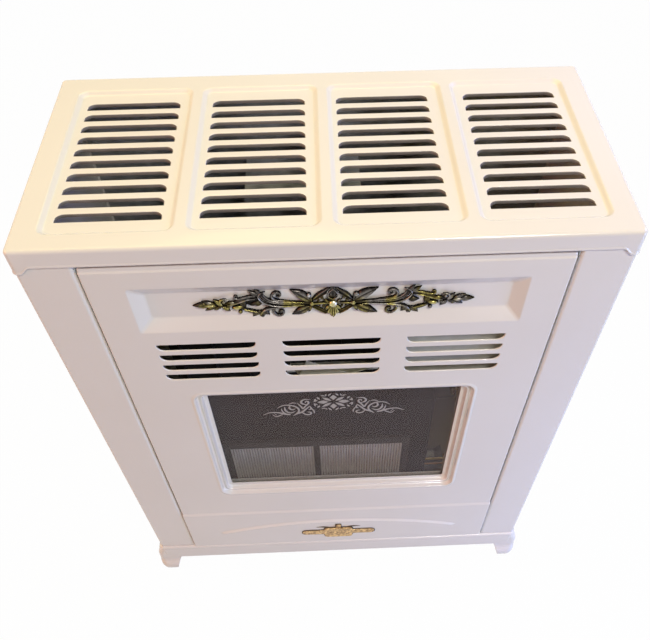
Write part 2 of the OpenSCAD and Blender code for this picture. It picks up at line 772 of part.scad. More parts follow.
// Fire chamber with its window opening, burner hole, air slots and throat
module firebox() color(blacked) place() translate([-fire_x, 0, 0]) difference() {
  translate([-fire_w / 2, fire_y0, fire_z0]) cube([fire_w, fire_d, fire_h]);
  translate([-fire_w / 2 + fire_t, fire_y0 + fire_t, fire_z0 + fire_t])
    cube([fire_w - 2 * fire_t, fire_d - 2 * fire_t, fire_h - 2 * fire_t]);
  translate([-rods_w / 2 + frame_lap, fire_y0 - 1, rod_z - rod_l / 2 + frame_lap])
    cube([rods_w - 2 * frame_lap, 4, rod_l - 2 * frame_lap]);
  along_x(fire_w / 2 - 4, fire_w / 2 + 1, burner_y, burner_z, mixer_r + 0.6);
  along_x(fire_w / 2 - 4, fire_w / 2 + 1, pilot_y, pilot_z + 8, 3);
  along_x(fire_w / 2 - 4, fire_w / 2 + 1, pilot_y - 9, pilot_z + 8, 3);
  translate([-exch_d, fire_my - 25, fire_z1 - 4]) cube([2 * exch_d, 50, 6]);
  for (x = [-110, -40, 30, 100], y = [burner_y - 26, burner_y + 26])
    translate([x - 24, y - 3, fire_z0 - 1]) cube([48, 6, 4]);
}

// Two folded stands between the deck and the fire chamber
module firebox_stands() color(zinc) place() for (x = [-0.36, 0.36])
  translate([-fire_x + x * fire_w - 15, 0, 0]) difference() {
    translate([0, fire_y0 + 14, deck_z]) cube([30, fire_d - 28, fire_z0 - deck_z]);
    translate([-1, fire_y0 + 14 + fire_t, deck_z + fire_t])
      cube([32, fire_d - 28 - 2 * fire_t, fire_z0 - deck_z - 2 * fire_t]);
  }

module heat_exchanger() color(blacked) place() translate([-fire_x, 0, 0]) difference() {
  union() {
    translate([-exch_w / 2, exch_y0, fire_z1]) cube([exch_w, exch_d, exch_h]);
    for (k = [0:fins - 1], y = [exch_y0 - fin_out, exch_y1 - eps])
      if (y < 0 || abs(-exch_w / 2 + 15 + k * fin_pitch) > hood_w / 2 + 4)
        translate([-exch_w / 2 + 15 + k * fin_pitch - fin_t / 2, y, fire_z1 + 12])
          cube([fin_t, fin_out + eps, exch_h - 24]);
    along_y(exch_y1 - 1, hood_y0 + 6, 0, collar_z, collar_r);
  }
  translate([-exch_w / 2 + fire_t, exch_y0 + fire_t, fire_z1 + fire_t])
    cube([exch_w - 2 * fire_t, exch_d - 2 * fire_t, exch_h - 2 * fire_t]);
  translate([-exch_d, fire_my - 25, fire_z1 - 1]) cube([2 * exch_d, 50, 6]);
  along_y(exch_y1 - 5, hood_y0 + 10, 0, collar_z, collar_r - fire_t);
}

// Draught hood, open below, between the exchanger's collar and the flue spigot
module draught_hood() color(zinc) place() translate([-fire_x, 0, 0]) difference() {
  translate([-hood_w / 2, hood_y0, hood_z0]) cube([hood_w, hood_y1 - hood_y0, hood_z1 - hood_z0]);
  translate([-hood_w / 2 + sheet_t, hood_y0 + sheet_t, hood_z0 - 1])
    cube([hood_w - 2 * sheet_t, hood_y1 - hood_y0 - 2 * sheet_t, hood_z1 - hood_z0 - sheet_t + 1]);
  along_y(hood_y0 - 1, hood_y0 + 3, 0, collar_z, collar_r + lap_gap);
  along_y(hood_y1 - 3, hood_y1 + 1, 0, flue_zc, flue_dia / 2 - fire_t);
}

module flue_spigot() color(zinc) place() translate([-fire_x, 0, 0]) difference() {
  union() {
    along_y(hood_y1, fy + flue_stop, 0, flue_zc, flue_dia / 2 + 1);
    along_y(fy + flue_stop - 1, fy + flue_out, 0, flue_zc, flue_dia / 2);
    along_y(hood_y1, hood_y1 + 2, 0, flue_zc, flue_dia / 2 + 10);
  }
  along_y(hood_y1 - 1, fy + flue_out + 1, 0, flue_zc, flue_dia / 2 - fire_t);
}

// Pressed frame with a channel for the rods and a bar down its middle
module fire_window_frame() color(zinc) place() translate([-fire_x, 0, rod_z]) difference() {
  translate([-rods_w / 2 - rods_rim, frame_y, -rod_l / 2 - rods_rim])
    cube([rods_w + 2 * rods_rim, frame_d, rod_l + 2 * rods_rim]);
  for (s = [-1, 1]) translate([s * (rods_w + bar_w) / 4, 0, 0]) {
    translate([-(rods_w - bar_w) / 4 - 0.3, rod_y - channel_d / 2, -rod_l / 2 - lap_gap])
      cube([(rods_w - bar_w) / 2 + 0.6, channel_d, rod_l + 2 * lap_gap]);
    translate([-(rods_w - bar_w) / 4, frame_y - 1, -rod_l / 2 + frame_lap])
      cube([(rods_w - bar_w) / 2, frame_d + 2, rod_l - 2 * frame_lap]);
  }
}

module glass_rods() color([0.8, 0.8, 0.76, 0.6]) place() translate([-fire_x, rod_y, rod_z - rod_l / 2])
  for (s = [-1, 1], k = [0:rods_half - 1])
    translate([s * (bar_w / 2 + (k + 0.5) * rod_pitch), 0, 0]) cylinder(h = rod_l, r = rod_d / 2);

// Pale plate in front of the burner, narrower at its top
module flame_shield() color([0.85, 0.83, 0.78]) place()
  front_extrude(burner_y - burner_r - fire_t, fire_t) translate([-shield_x, burner_z - shield_drop]) polygon([
    [-shield_w / 2, 0], [shield_w / 2, 0], [shield_w * 0.45, shield_h / 3], [shield_w * 0.27, shield_h],
    [-shield_w * 0.28, shield_h], [-shield_w * 0.43, shield_h / 3]
  ]);

// Burner: ported tube, mixing tube and bell mouth
module burner_tube() color(zinc) place() difference() {
  union() {
    along_x(burner_x0, burner_x1, burner_y, burner_z, burner_r);
    along_x(burner_x1 - 1, mixer_x1 + 1, burner_y, burner_z, mixer_r);
    translate([mixer_x1, burner_y, burner_z]) rotate([0, 90, 0])
      cylinder(h = bell_l, r1 = mixer_r, r2 = mixer_r + 6);
  }
  along_x(burner_x0 + tube_t, burner_x1 - tube_t, burner_y, burner_z, burner_r - tube_t);
  along_x(burner_x1 - 2 * tube_t, mixer_x1 + 1, burner_y, burner_z, mixer_r - tube_t);
  translate([mixer_x1, burner_y, burner_z]) rotate([0, 90, 0])
    cylinder(h = bell_l + 1, r1 = mixer_r - tube_t, r2 = mixer_r + 5);
  for (k = [0:ports - 1])
    translate([burner_x0 + 14 + k * (burner_x1 - burner_x0 - 30) / (ports - 1), burner_y - 6, burner_z + burner_r - 4])
      cube([2, 12, 6]);
}

// Saddle under the burner's closed end
module burner_saddle() color(zinc) place() difference() {
  translate([burner_x0 + burner_r, burner_y - burner_r * 0.8, fire_z0 + fire_t])
    cube([14, burner_r * 1.6, burner_z - fire_z0 - fire_t - 8]);
  along_x(burner_x0 + 10, burner_x0 + 40, burner_y, burner_z, burner_r + lap_gap);
}

inj_x0 = mixer_x1 + bell_l + 2;
module injector_bracket() color(zinc) place() difference() {
  union() {
    translate([fire_x1, burner_y - bracket_w / 2, burner_z - bracket_drop]) cube([fire_t, bracket_w, 14]);
    translate([fire_x1, burner_y - bracket_w / 2, burner_z - bracket_drop])
      cube([inj_x0 + 10 + fire_t - fire_x1, bracket_w, fire_t]);
    translate([inj_x0 + 10, burner_y - bracket_w / 2, burner_z - bracket_drop])
      cube([fire_t, bracket_w, bracket_h]);
  }
  along_x(inj_x0 + 6, inj_x0 + 16, burner_y, burner_z, 5 + run_gap);
}

module injector() color(brassy) place() {
  translate([inj_x0, burner_y, burner_z]) rotate([0, 90, 0]) cylinder(h = 6, r1 = 3, r2 = 5);
  along_x(inj_x0 + 5.9, inj_x0 + 18, burner_y, burner_z, 5);
  hex_x(inj_x0 + 12, inj_x0 + 18, burner_y, burner_z, 8);
}

// Pilot bracket and pilot head, with holes for the two probes
module pilot_burner() color(brassy) place() difference() {
  union() {
    translate([pilot_x - 24, pilot_y - 14, pilot_z + 2]) cube([48, 26, 1.5]);
    translate([pilot_x - 8, burner_y - 4, pilot_z + lap_gap]) cube([16, 8, 3.2]);
    translate([pilot_x - 8, pilot_y + 8, pilot_z + 2]) cube([16, burner_y - pilot_y - 6, 1.5]);
    translate([pilot_x, pilot_y, pilot_z - 4]) cylinder(h = 22, r = 4.5);
  }
  translate([pilot_x - 16, pilot_y, pilot_z]) cylinder(h = 6, r = 3 + run_gap);
  translate([pilot_x + 16, pilot_y - 9, pilot_z]) cylinder(h = 6, r = 2.5 + run_gap);
  translate([pilot_x, pilot_y, pilot_z + 12]) cylinder(h = 8, r = 3);
}

// Thermocouple: upright tip and a lead tube out to the valve
module thermocouple() color([0.72, 0.45, 0.3]) place() {
  translate([pilot_x + 16, pilot_y - 9, pilot_z - 6]) cylinder(h = 26, r = 2.5);
  translate([pilot_x + 16, pilot_y - 9, pilot_z + 8]) sphere(r = 3);
  along_x(pilot_x + 16, valve_x0, pilot_y - 9, pilot_z + 8, 1.5);
}

module spark_electrode() color([0.93, 0.92, 0.88]) place() {
  translate([pilot_x - 16, pilot_y, pilot_z - 8]) cylinder(h = 22, r = 3);
  translate([pilot_x - 16, pilot_y, pilot_z + 13]) cylinder(h = 9, r = 1);
  translate([pilot_x - 16, pilot_y, pilot_z - 16]) cylinder(h = 9, r = 1.5);
}

module pilot_pipe() color(brassy) place() difference() {
  along_x(pilot_x + 4.5, valve_x0, pilot_y, pilot_z + 8, 2);
  along_x(pilot_x, valve_x0 + 1, pilot_y, pilot_z + 8, 1.2);
}

// Gas valve: body, bonnet to the pan, ports for feed and burner
valve_z0 = burner_z - 12;
valve_z1 = ctrl_z + 20;
valve_y0 = min(pilot_y - 14, knob_y - 20);
valve_y1 = knob_y + 18;
module gas_valve() color(zinc) place() difference() {
  union() {
    translate([valve_x0, valve_y0, valve_z0]) cube([valve_x1 - valve_x0, valve_y1 - valve_y0, valve_z1 - valve_z0]);
    along_x(valve_x1 - 1, pan_back - sheet_t, knob_y, ctrl_z, 12);
    along_x(valve_port_x, valve_x0 + 1, burner_y, burner_z, 9);
    translate([inlet_x, knob_y, valve_z0 - 8]) cylinder(h = 9, r = 10);
    translate([valve_x0 + 8, valve_y0 + 8, valve_z1 - 1]) cylinder(h = 7, r = 6);
  }
  along_x(spindle_end - 44, pan_back, knob_y, ctrl_z, spindle_r + run_gap);
}

// Inlet nipple through the back, with its lock nut
module gas_inlet() color(brassy) place() difference() {
  union() {
    along_y(py - inlet_in, fy + inlet_stop, inlet_x, inlet_z, inlet_r);
    along_y(fy + inlet_stop - eps, fy + inlet_out, inlet_x, inlet_z, inlet_dia / 2);
    translate([inlet_x, py - 2 * sheet_t - lap_gap - 8, inlet_z]) rotate([-90, 0, 0])
      cylinder(h = 8, r = inlet_r + 4, $fn = 6);
  }
  along_y(py - inlet_in - 1, fy + inlet_out + 1, inlet_x, inlet_z, inlet_dia / 2 - 3);
}

// Feed pipe: from the nipple forwards, then up into the valve
module gas_feed_pipe() color(brassy) place() translate([inlet_x, 0, 0]) {
  along_y(knob_y + elbow_r, py - inlet_in, 0, inlet_z, pipe_r);
  translate([0, knob_y + elbow_r, inlet_z + elbow_r]) rotate([90, 0, 90]) rotate([0, 0, 180])
    rotate_extrude(angle = 90) translate([elbow_r, 0]) circle(pipe_r);
  translate([0, knob_y, inlet_z + elbow_r]) cylinder(h = valve_z0 - 8 - inlet_z - elbow_r, r = pipe_r);
}

module burner_pipe() color(brassy) place() tube_x(inj_x0 + 18, valve_port_x, burner_y, burner_z, 5, 1);

module piezo_igniter() color(blacked) place() difference() {
  along_x(pan_back - sheet_t - piezo_l, pan_back - sheet_t, button_y, ctrl_z, button_r + 3);
  along_x(pan_back - sheet_t - button_travel - 8, pan_back, button_y, ctrl_z, button_r + run_gap);
}

// Peaked scoop behind the middle louvres and upright sheet behind the right ones, both held by the fins
module air_deflector() color(zinc) place() {
  y0 = main_y + deflector_back;
  y1 = exch_y0 - fin_out;
  z2 = deflector_z0 - deflector_fall;
  intersection() {
    side_extrude(-deflector_half, 2 * deflector_half) polygon([
      [y0, deflector_z1], [y0 + sheet_t, deflector_z1], [y0 + sheet_t, deflector_z0], [y1, z2],
      [y1, z2 - deflector_lip], [y1 - sheet_t, z2 - deflector_lip], [y1 - sheet_t, z2 - 0.4], [y0, deflector_z0 - 0.4]
    ]);
    front_extrude(y0 - 1, y1 - y0 + 2) polygon([
      [-deflector_half, z2 - deflector_lip - 1], [-44, deflector_z0 - 10], [-30, deflector_z1], [19, deflector_z0 + 1],
      [deflector_half, deflector_z0 - 21], [deflector_half, z2 - deflector_lip - 1]
    ]);
  }
  translate([wing_x0, y0, deflector_z0]) cube([wing_w, sheet_t, wing_h]);
  side_extrude(wing_x0, wing_foot) polygon([
    [y0, deflector_z0], [y0, deflector_z0 + sheet_t], [y1 - sheet_t, deflector_z0 + sheet_t],
    [y1 - sheet_t, deflector_z0 + deflector_lip], [y1, deflector_z0 + deflector_lip], [y1, deflector_z0]
  ]);
}

// Pan-head screws that hold the back panel to the side panels
module cabinet_screws() color(zinc) place() for (sx = [-1, 1], z = screw_z) {
  along_y(py - screw_l, py + 0.2, sx * screw_x, z, screw_r);
  translate([sx * screw_x, py, z]) rotate([-90, 0, 0])
    cylinder(h = screw_r * 0.85, r1 = screw_r * 2.1, r2 = screw_r * 1.6);
}

// Moving controls
module valve_spindle() color(zinc) place() {
  along_x(spindle_end - 40, spindle_end, knob_y, ctrl_z, spindle_r);
}

module control_knob() color([0.2, 0.2, 0.2]) place() difference() {
  union() {
    along_x(knob_x0, knob_x0 + knob_h * 0.35, knob_y, ctrl_z, knob_dia / 2);
    translate([knob_x0 + knob_h * 0.35, knob_y, ctrl_z]) rotate([0, 90, 0])
      cylinder(h = knob_h * 0.65, r1 = knob_dia / 2 - 3, r2 = knob_dia / 2 - 5);
  }
  along_x(knob_x0 - 1, spindle_end + lap_gap, knob_y, ctrl_z, spindle_r + run_gap);
  for (a = [0:15:345]) translate([knob_x0, knob_y, ctrl_z]) rotate([a, 0, 0])
    along_x(knob_h * 0.35 + 1, knob_h + 1, 0, knob_dia / 2 - 3, 1.4);
}

module igniter_button() color([0.75, 0.12, 0.1]) place()
  along_x(pan_back - sheet_t - 7, pan_back + 12, button_y, ctrl_z, button_r);

base_plinth();
foot_front_left();
foot_front_right();
foot_rear_left();
foot_rear_right();
side_panel_left();
side_panel_right();
back_panel();
top_cover();
control_pan();
pivot_studs();
door_buffers();
firebox();
firebox_stands();
heat_exchanger();
draught_hood();
flue_spigot();
fire_window_frame();
glass_rods();
flame_shield();
burner_tube();
burner_saddle();
injector_bracket();
injector();
pilot_burner();
thermocouple();
spark_electrode();
gas_valve();
gas_inlet();
gas_feed_pipe();
burner_pipe();
pilot_pipe();
piezo_igniter();
air_deflector();
cabinet_screws();
front_panel();
window_glass();
glass_seal();
glass_clips();
scroll_ornament();
badge();
valve_spindle();
control_knob();
igniter_button();
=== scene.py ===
import json
import math

import bmesh
import bpy
from mathutils import Matrix, Vector


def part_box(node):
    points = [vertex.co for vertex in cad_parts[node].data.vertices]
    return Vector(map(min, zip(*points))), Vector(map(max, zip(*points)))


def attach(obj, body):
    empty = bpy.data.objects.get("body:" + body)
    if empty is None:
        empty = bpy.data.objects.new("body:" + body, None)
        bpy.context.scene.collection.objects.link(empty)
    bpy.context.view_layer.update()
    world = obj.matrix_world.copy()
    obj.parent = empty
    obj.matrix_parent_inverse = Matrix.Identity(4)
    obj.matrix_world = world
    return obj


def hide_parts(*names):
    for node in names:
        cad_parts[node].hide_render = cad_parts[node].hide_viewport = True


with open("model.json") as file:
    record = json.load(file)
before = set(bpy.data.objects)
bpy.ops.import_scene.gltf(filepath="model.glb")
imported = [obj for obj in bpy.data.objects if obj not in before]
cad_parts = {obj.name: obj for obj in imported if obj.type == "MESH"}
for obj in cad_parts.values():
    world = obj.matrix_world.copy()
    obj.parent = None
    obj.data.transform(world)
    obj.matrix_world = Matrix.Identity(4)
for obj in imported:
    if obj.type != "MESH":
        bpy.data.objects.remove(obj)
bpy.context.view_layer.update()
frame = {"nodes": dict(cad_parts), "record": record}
nodes = frame["nodes"]
print("frame loaded:", len(nodes), "nodes")

# The cabinet's main planes come from the frame; every size below is in millimetres
mm = 0.001
sheet = 1.2  # wall of the pressed sheets
lapGap = 0.3  # room between the cover and the sheets under it
coverLow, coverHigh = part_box("top_cover")
doorLow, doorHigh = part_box("front_panel")
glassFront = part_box("window_glass")[0].y
cabinetY = (coverLow.y + coverHigh.y) / 2
topZ = coverHigh.z
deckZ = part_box("base_plinth")[1].z
mainY = coverLow.y + (sheet + lapGap) * mm
smoothAngle = math.radians(38)  # edges that turn more than this stay sharp
normalWeight = 80  # how strongly large faces pull the shading of the bends next to them
leastCorner = 0.4  # nested outlines keep at least this corner radius
cutReach = 0.001  # a point this near a cut counts as on it
near = 0.01  # a level this near another one counts as the same
softSteps = 10  # steps across a soft bend


# From 0 to 1 with soft ends
def softStep(t):
    t = min(max(t, 0), 1)
    return t * t * (3 - 2 * t)


# Closed outline with rounded corners; radii are (low side, high side) or one number
def ring(bm, width, height, radii, centre=(0, 0), level=0, segments=6):
    low, high = radii if isinstance(radii, tuple) else (radii, radii)
    made = bmesh.ops.create_circle(bm, radius=1, segments=4 * (segments + 1))
    around = sorted(made["verts"], key=lambda v: math.atan2(v.co.y, v.co.x) % (2 * math.pi))
    signs = ((1, 1, high), (-1, 1, high), (-1, -1, low), (1, -1, low))
    for i, v in enumerate(around):
        quarter, step = divmod(i, segments + 1)
        sx, sy, r = signs[quarter]
        turn = math.radians(90) * (quarter + step / segments)
        v.co = (centre[0] + sx * (width / 2 - r) + r * math.cos(turn),
                centre[1] + sy * (height / 2 - r) + r * math.sin(turn), level)
    inside = set(made["verts"])
    return [e for e in bm.edges if e.verts[0] in inside and e.verts[1] in inside]


def join(bm, rings):
    for first, second in zip(rings, rings[1:]):
        bmesh.ops.bridge_loops(bm, edges=first + second)


# Nested outlines joined one to the next; profile is a list of (inset, level)
def pressed(bm, width, height, radius, centre, profile):
    rings = []
    for inset, level in profile:
        corner = max(radius - inset, leastCorner)
        rings.append(ring(bm, width - 2 * inset, height - 2 * inset, corner, centre, level))
    join(bm, rings)
    return rings


# Quarter bend from the flat sheet to its upright edge, as (inset, level)
def rolledEdge(roll, steps):
    bends = [math.radians(90 / steps * k) for k in range(steps + 1)]
    return [(roll * (1 - math.sin(a)), -roll * (1 - math.cos(a))) for a in bends]


def fillBetween(bm, *loops):
    edges = [e for loop in loops for e in loop]
    bmesh.ops.triangle_fill(bm, use_beauty=True, use_dissolve=False, edges=edges, normal=(0, 0, 1))


lip = {"steps": [(0.25, 0.06), (0.35, 0.14), (0.3, 0.25), (0.1, 0.55)], "reach": 1.5}


# Edge of a punched hole, rolled away from the viewer, and deeper towards one side: 1 up, -1 down
def rolledLip(bm, loop, centre, size, deeper, side):
    half = size[1] / 2
    for grow, share in lip["steps"]:
        made = bmesh.ops.extrude_edge_only(bm, edges=loop)["geom"]
        new = [g for g in made if isinstance(g, bmesh.types.BMVert)]
        loop = [g for g in made if isinstance(g, bmesh.types.BMEdge)
                and all(v in new for v in g.verts)]
        sx = 1 - 2 * grow / size[0]
        sy = 1 - 2 * grow / size[1]
        for v in new:
            x, y = v.co.x - centre[0], v.co.y - centre[1]
            v.co.z -= share * (1.0 + deeper * softStep((half + side * y) / (lip["reach"] * half)))
            v.co.x = centre[0] + x * sx
            v.co.y = centre[1] + y * sy


def markSharp(bm, angle=smoothAngle):
    for f in bm.faces:
        f.smooth = True
    for e in bm.edges:
        if len(e.link_faces) == 2 and e.calc_face_angle(0) > angle:
            e.smooth = False


# Local millimetres to the row frame: flat pieces lie on the top, upright ones face the viewer
def lying(level):
    return Matrix.Translation((0, cabinetY, level)) @ Matrix.Scale(mm, 4)


def upright(y):
    turn = Matrix.Rotation(math.radians(90), 4, "X")
    return Matrix.Translation((0, y, 0)) @ turn @ Matrix.Scale(mm, 4)


def addObject(name, data):
    made = bpy.data.objects.new(name, data)
    bpy.context.scene.collection.objects.link(made)
    return made


def place(bm, name, matrix, material, body, replaced=(), weighted=True):
    bmesh.ops.transform(bm, matrix=matrix, verts=bm.verts)
    mesh = bpy.data.meshes.new(name)
    bm.to_mesh(mesh)
    bm.free()
    piece = addObject(name, mesh)
    mesh.materials.append(material)
    if weighted:
        normals = piece.modifiers.new("weightedNormals", "WEIGHTED_NORMAL")
        normals.weight = normalWeight
        normals.keep_sharp = True
    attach(piece, body)
    if replaced:
        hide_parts(*replaced)
    return piece


# Finishes: what one number sets all over, and the shader's own name for it
socketNames = {
    "metal": "Metallic", "coat": "Coat Weight", "coatRough": "Coat Roughness", "alpha": "Alpha",
    "specular": "Specular IOR Level",
}


def newFinish(name, **settings):
    material = bpy.data.materials.new(name)
    material.use_nodes = True
    shader = material.node_tree.nodes["Principled BSDF"]
    for socket, value in settings.items():
        shader.inputs[socketNames[socket]].default_value = value
    return material, material.node_tree, shader


def noise(tree, scale, detail, stretch=(1, 1, 1)):
    coords = tree.nodes.new("ShaderNodeTexCoord")
    mapping = tree.nodes.new("ShaderNodeMapping")
    mapping.inputs["Scale"].default_value = stretch
    texture = tree.nodes.new("ShaderNodeTexNoise")
    texture.inputs["Scale"].default_value = scale
    texture.inputs["Detail"].default_value = detail
    tree.links.new(coords.outputs["Object"], mapping.inputs["Vector"])
    tree.links.new(mapping.outputs["Vector"], texture.inputs["Vector"])
    return texture.outputs["Fac"]


def ramp(tree, factor, stops):
    node = tree.nodes.new("ShaderNodeValToRGB")
    elements = node.color_ramp.elements
    while len(elements) < len(stops):
        elements.new(0.5)
    for element, (position, colour) in zip(elements, stops):
        element.position = position
        element.color = (*colour, 1)
    tree.links.new(factor, node.inputs["Fac"])
    return node.outputs["Color"]


def spread(tree, factor, low, high, start=0.35, end=0.65):
    node = tree.nodes.new("ShaderNodeMapRange")
    node.inputs["From Min"].default_value = start
    node.inputs["From Max"].default_value = end
    node.inputs["To Min"].default_value = low
    node.inputs["To Max"].default_value = high
    tree.links.new(factor, node.inputs["Value"])
    return node.outputs["Result"]


def bump(tree, shader, height, strength, distance=0.0004):
    node = tree.nodes.new("ShaderNodeBump")
    node.inputs["Strength"].default_value = strength
    node.inputs["Distance"].default_value = distance
    tree.links.new(height, node.inputs["Height"])
    tree.links.new(node.outputs["Normal"], shader.inputs["Normal"])


# One step of reckoning between shader values; plain numbers are set, the rest is linked
def combine(tree, operation, *values):
    node = tree.nodes.new("ShaderNodeMath")
    node.operation = operation
    for socket, value in zip(node.inputs, values):
        if isinstance(value, float):
            socket.default_value = value
        else:
            tree.links.new(value, socket)
    return node.outputs["Value"]


# A finish from two colours, a roughness range and a fine grain
def surface(name, dark, light, rough, scale=9, stretch=(1, 1, 1), grain=0.0, grainScale=900,
            darkTo=0.32, lightFrom=0.68, **settings):
    material, tree, shader = newFinish(name, **settings)
    patches = noise(tree, scale, 4, stretch)
    colour = ramp(tree, patches, [(darkTo, dark), (lightFrom, light)])
    tree.links.new(colour, shader.inputs["Base Color"])
    tree.links.new(spread(tree, patches, *rough), shader.inputs["Roughness"])
    if grain:
        bump(tree, shader, noise(tree, grainScale, 2, stretch), grain)
    return material


finishes = {
    "enamel": surface(
        "glossEnamel", (0.83, 0.79, 0.745), (0.86, 0.825, 0.785), (0.2, 0.26),
        scale=5, grain=0.05, grainScale=60, coat=0.35, coatRough=0.06),
    "galvanised": surface(
        "zincSheet", (0.36, 0.37, 0.38), (0.5, 0.51, 0.53), (0.34, 0.5),
        scale=60, grain=0.08, metal=0.75),
    "blacked_steel": surface(
        "blackedSteel", (0.009, 0.008, 0.008), (0.022, 0.021, 0.02), (0.7, 0.85),
        scale=30, grain=0.2, grainScale=700, specular=0.15),
    "pale_plate": surface(
        "palePlate", (0.82, 0.8, 0.75), (0.9, 0.88, 0.83), (0.5, 0.65), scale=18, grain=0.1),
    "rubber": surface(
        "blackRubber", (0.015, 0.015, 0.015), (0.03, 0.03, 0.03), (0.7, 0.85), scale=40),
    "die_cast": surface(
        "castAlloy", (0.42, 0.43, 0.44), (0.55, 0.56, 0.57), (0.35, 0.5),
        scale=45, grain=0.3, grainScale=1200, metal=0.9),
    "brass": surface(
        "machinedBrass", (0.62, 0.45, 0.18), (0.76, 0.58, 0.28), (0.22, 0.34),
        scale=30, grain=0.05, metal=1.0),
    "copper": surface(
        "drawnCopper", (0.58, 0.3, 0.18), (0.74, 0.44, 0.3), (0.25, 0.4), scale=25, metal=1.0),
    "ceramic": surface(
        "glazedCeramic", (0.82, 0.8, 0.75), (0.9, 0.88, 0.84), (0.18, 0.26), scale=40),
    "black_plastic": surface(
        "mouldedBlack", (0.018, 0.018, 0.019), (0.035, 0.035, 0.036), (0.36, 0.5),
        scale=30, grain=0.12, grainScale=1400),
    "button_plastic": surface(
        "mouldedRed", (0.42, 0.03, 0.02), (0.55, 0.05, 0.035), (0.25, 0.35), scale=30),
    "smoked_glass": surface(
        "smokedGlass", (0.17, 0.13, 0.111), (0.2, 0.165, 0.17), (0.05, 0.08),
        scale=4, alpha=0.22, specular=0.4),
    "rod_glass": surface(
        "clearRods", (0.92, 0.86, 0.8), (0.96, 0.91, 0.86), (0.2, 0.3),
        scale=25, stretch=(6, 1, 1), alpha=0.85),
    "fibre_seal": surface(
        "wovenFibre", (0.6, 0.59, 0.54), (0.78, 0.77, 0.72), (0.85, 0.95),
        scale=500, grain=0.5, grainScale=900),
    "gilt": surface(
        "giltCasting", (0.2, 0.1, 0.04), (0.82, 0.56, 0.27), (0.3, 0.42),
        scale=260, grain=0.4, grainScale=420, metal=0.85),
}

# Two galvanised pieces get their own colours: the deflector a paler zinc, painted light, and the
# fire window frame a dark dull steel
ownFinish = {
    # paler, less metallic copy of the zinc: painted light for the light that falls on the deflector
    "air_deflector": surface(
        "zincWithPaintedLight", (0.5, 0.5, 0.45), (0.6, 0.6, 0.55), (0.4, 0.55),
        scale=60, grain=0.08, metal=0.2),
    "fire_window_frame": surface(
        "duskySteel", (0.05, 0.046, 0.044), (0.09, 0.085, 0.08), (0.5, 0.65),
        scale=60, grain=0.08, metal=0.5),
}


brassLook = {
    "metal": 0.9, "rough": (0.2, 0.36), "grain": 0.3, "patchScale": 260, "patchShare": 0.5,
    "darken": 0.72, "reliefNear": 4.6, "reliefFar": 9.3, "tintScale": 48, "tintRange": (0.42, 0.54),
    # ramps from dark patina with painted shade, through brass, to pale painted highlights
    "yellow": [(0.38, (0.006, 0.004, 0.002)), (0.62, (0.06, 0.045, 0.014)),
               (0.82, (0.34, 0.29, 0.09)), (0.97, (0.85, 0.78, 0.42))],
    "grey": [(0.38, (0.006, 0.005, 0.005)), (0.62, (0.05, 0.043, 0.038)),
             (0.82, (0.24, 0.22, 0.2)), (0.97, (0.72, 0.7, 0.7))],
}


# Antique brass: dark patina with painted shade in the hollows, yellow or grey on the proud parts
# with painted highlights at the top
def brassPatinaAndPaintedLight(look):
    material, tree, shader = newFinish("brassPatinaAndPaintedLight", metal=look["metal"])
    patches = noise(tree, look["patchScale"], 4)
    coords = tree.nodes.new("ShaderNodeTexCoord")
    apart = tree.nodes.new("ShaderNodeSeparateXYZ")
    tree.links.new(coords.outputs["Object"], apart.inputs["Vector"])
    front, back = (mainY + look[name] * mm for name in ("reliefNear", "reliefFar"))
    # how far a point stands proud of the tray's floor sets its colour: painted shade low down,
    # painted highlights high up
    relief = spread(tree, apart.outputs["Y"], 1, 0, front, back)
    both = combine(tree, "MULTIPLY_ADD", patches, look["patchShare"], relief)
    shade = combine(tree, "MULTIPLY", both, look["darken"])
    yellow = ramp(tree, shade, look["yellow"])
    grey = ramp(tree, shade, look["grey"])
    # a mix of colours has them in sockets 6 and 7, and comes out at 2
    mix = tree.nodes.new("ShaderNodeMix")
    mix.data_type = "RGBA"
    tint = spread(tree, noise(tree, look["tintScale"], 2), 0, 1, *look["tintRange"])
    tree.links.new(tint, mix.inputs[0])
    tree.links.new(yellow, mix.inputs[6])
    tree.links.new(grey, mix.inputs[7])
    tree.links.new(mix.outputs[2], shader.inputs["Base Color"])
    tree.links.new(spread(tree, patches, *look["rough"]), shader.inputs["Roughness"])
    bump(tree, shader, patches, look["grain"])
    return material


finishes["antique_brass"] = brassPatinaAndPaintedLight(brassLook)
etchedGrey = surface("etchedGrey", (0.38, 0.36, 0.34), (0.45, 0.43, 0.41), (0.55, 0.7), scale=200)
darkBronze = surface(
    "darkBronze", (0.035, 0.022, 0.012), (0.09, 0.06, 0.035), (0.45, 0.6), scale=200, metal=0.2)
# darker grey for the slots' lips and the banks' undersides: painted shade
paintedLipShade = surface("paintedLipShade", (0.17, 0.155, 0.145), (0.23, 0.21, 0.2), (0.35, 0.5), scale=40)

for part in frame["record"]["subparts"]:
    shown = nodes[part["node"]]
    shown.data.materials.clear()
    shown.data.materials.append(ownFinish.get(part["node"], finishes[part["material_slot"]]))
    for f in shown.data.polygons:
        f.material_index = 0
print("finishes ready:", len(finishes), "slots")


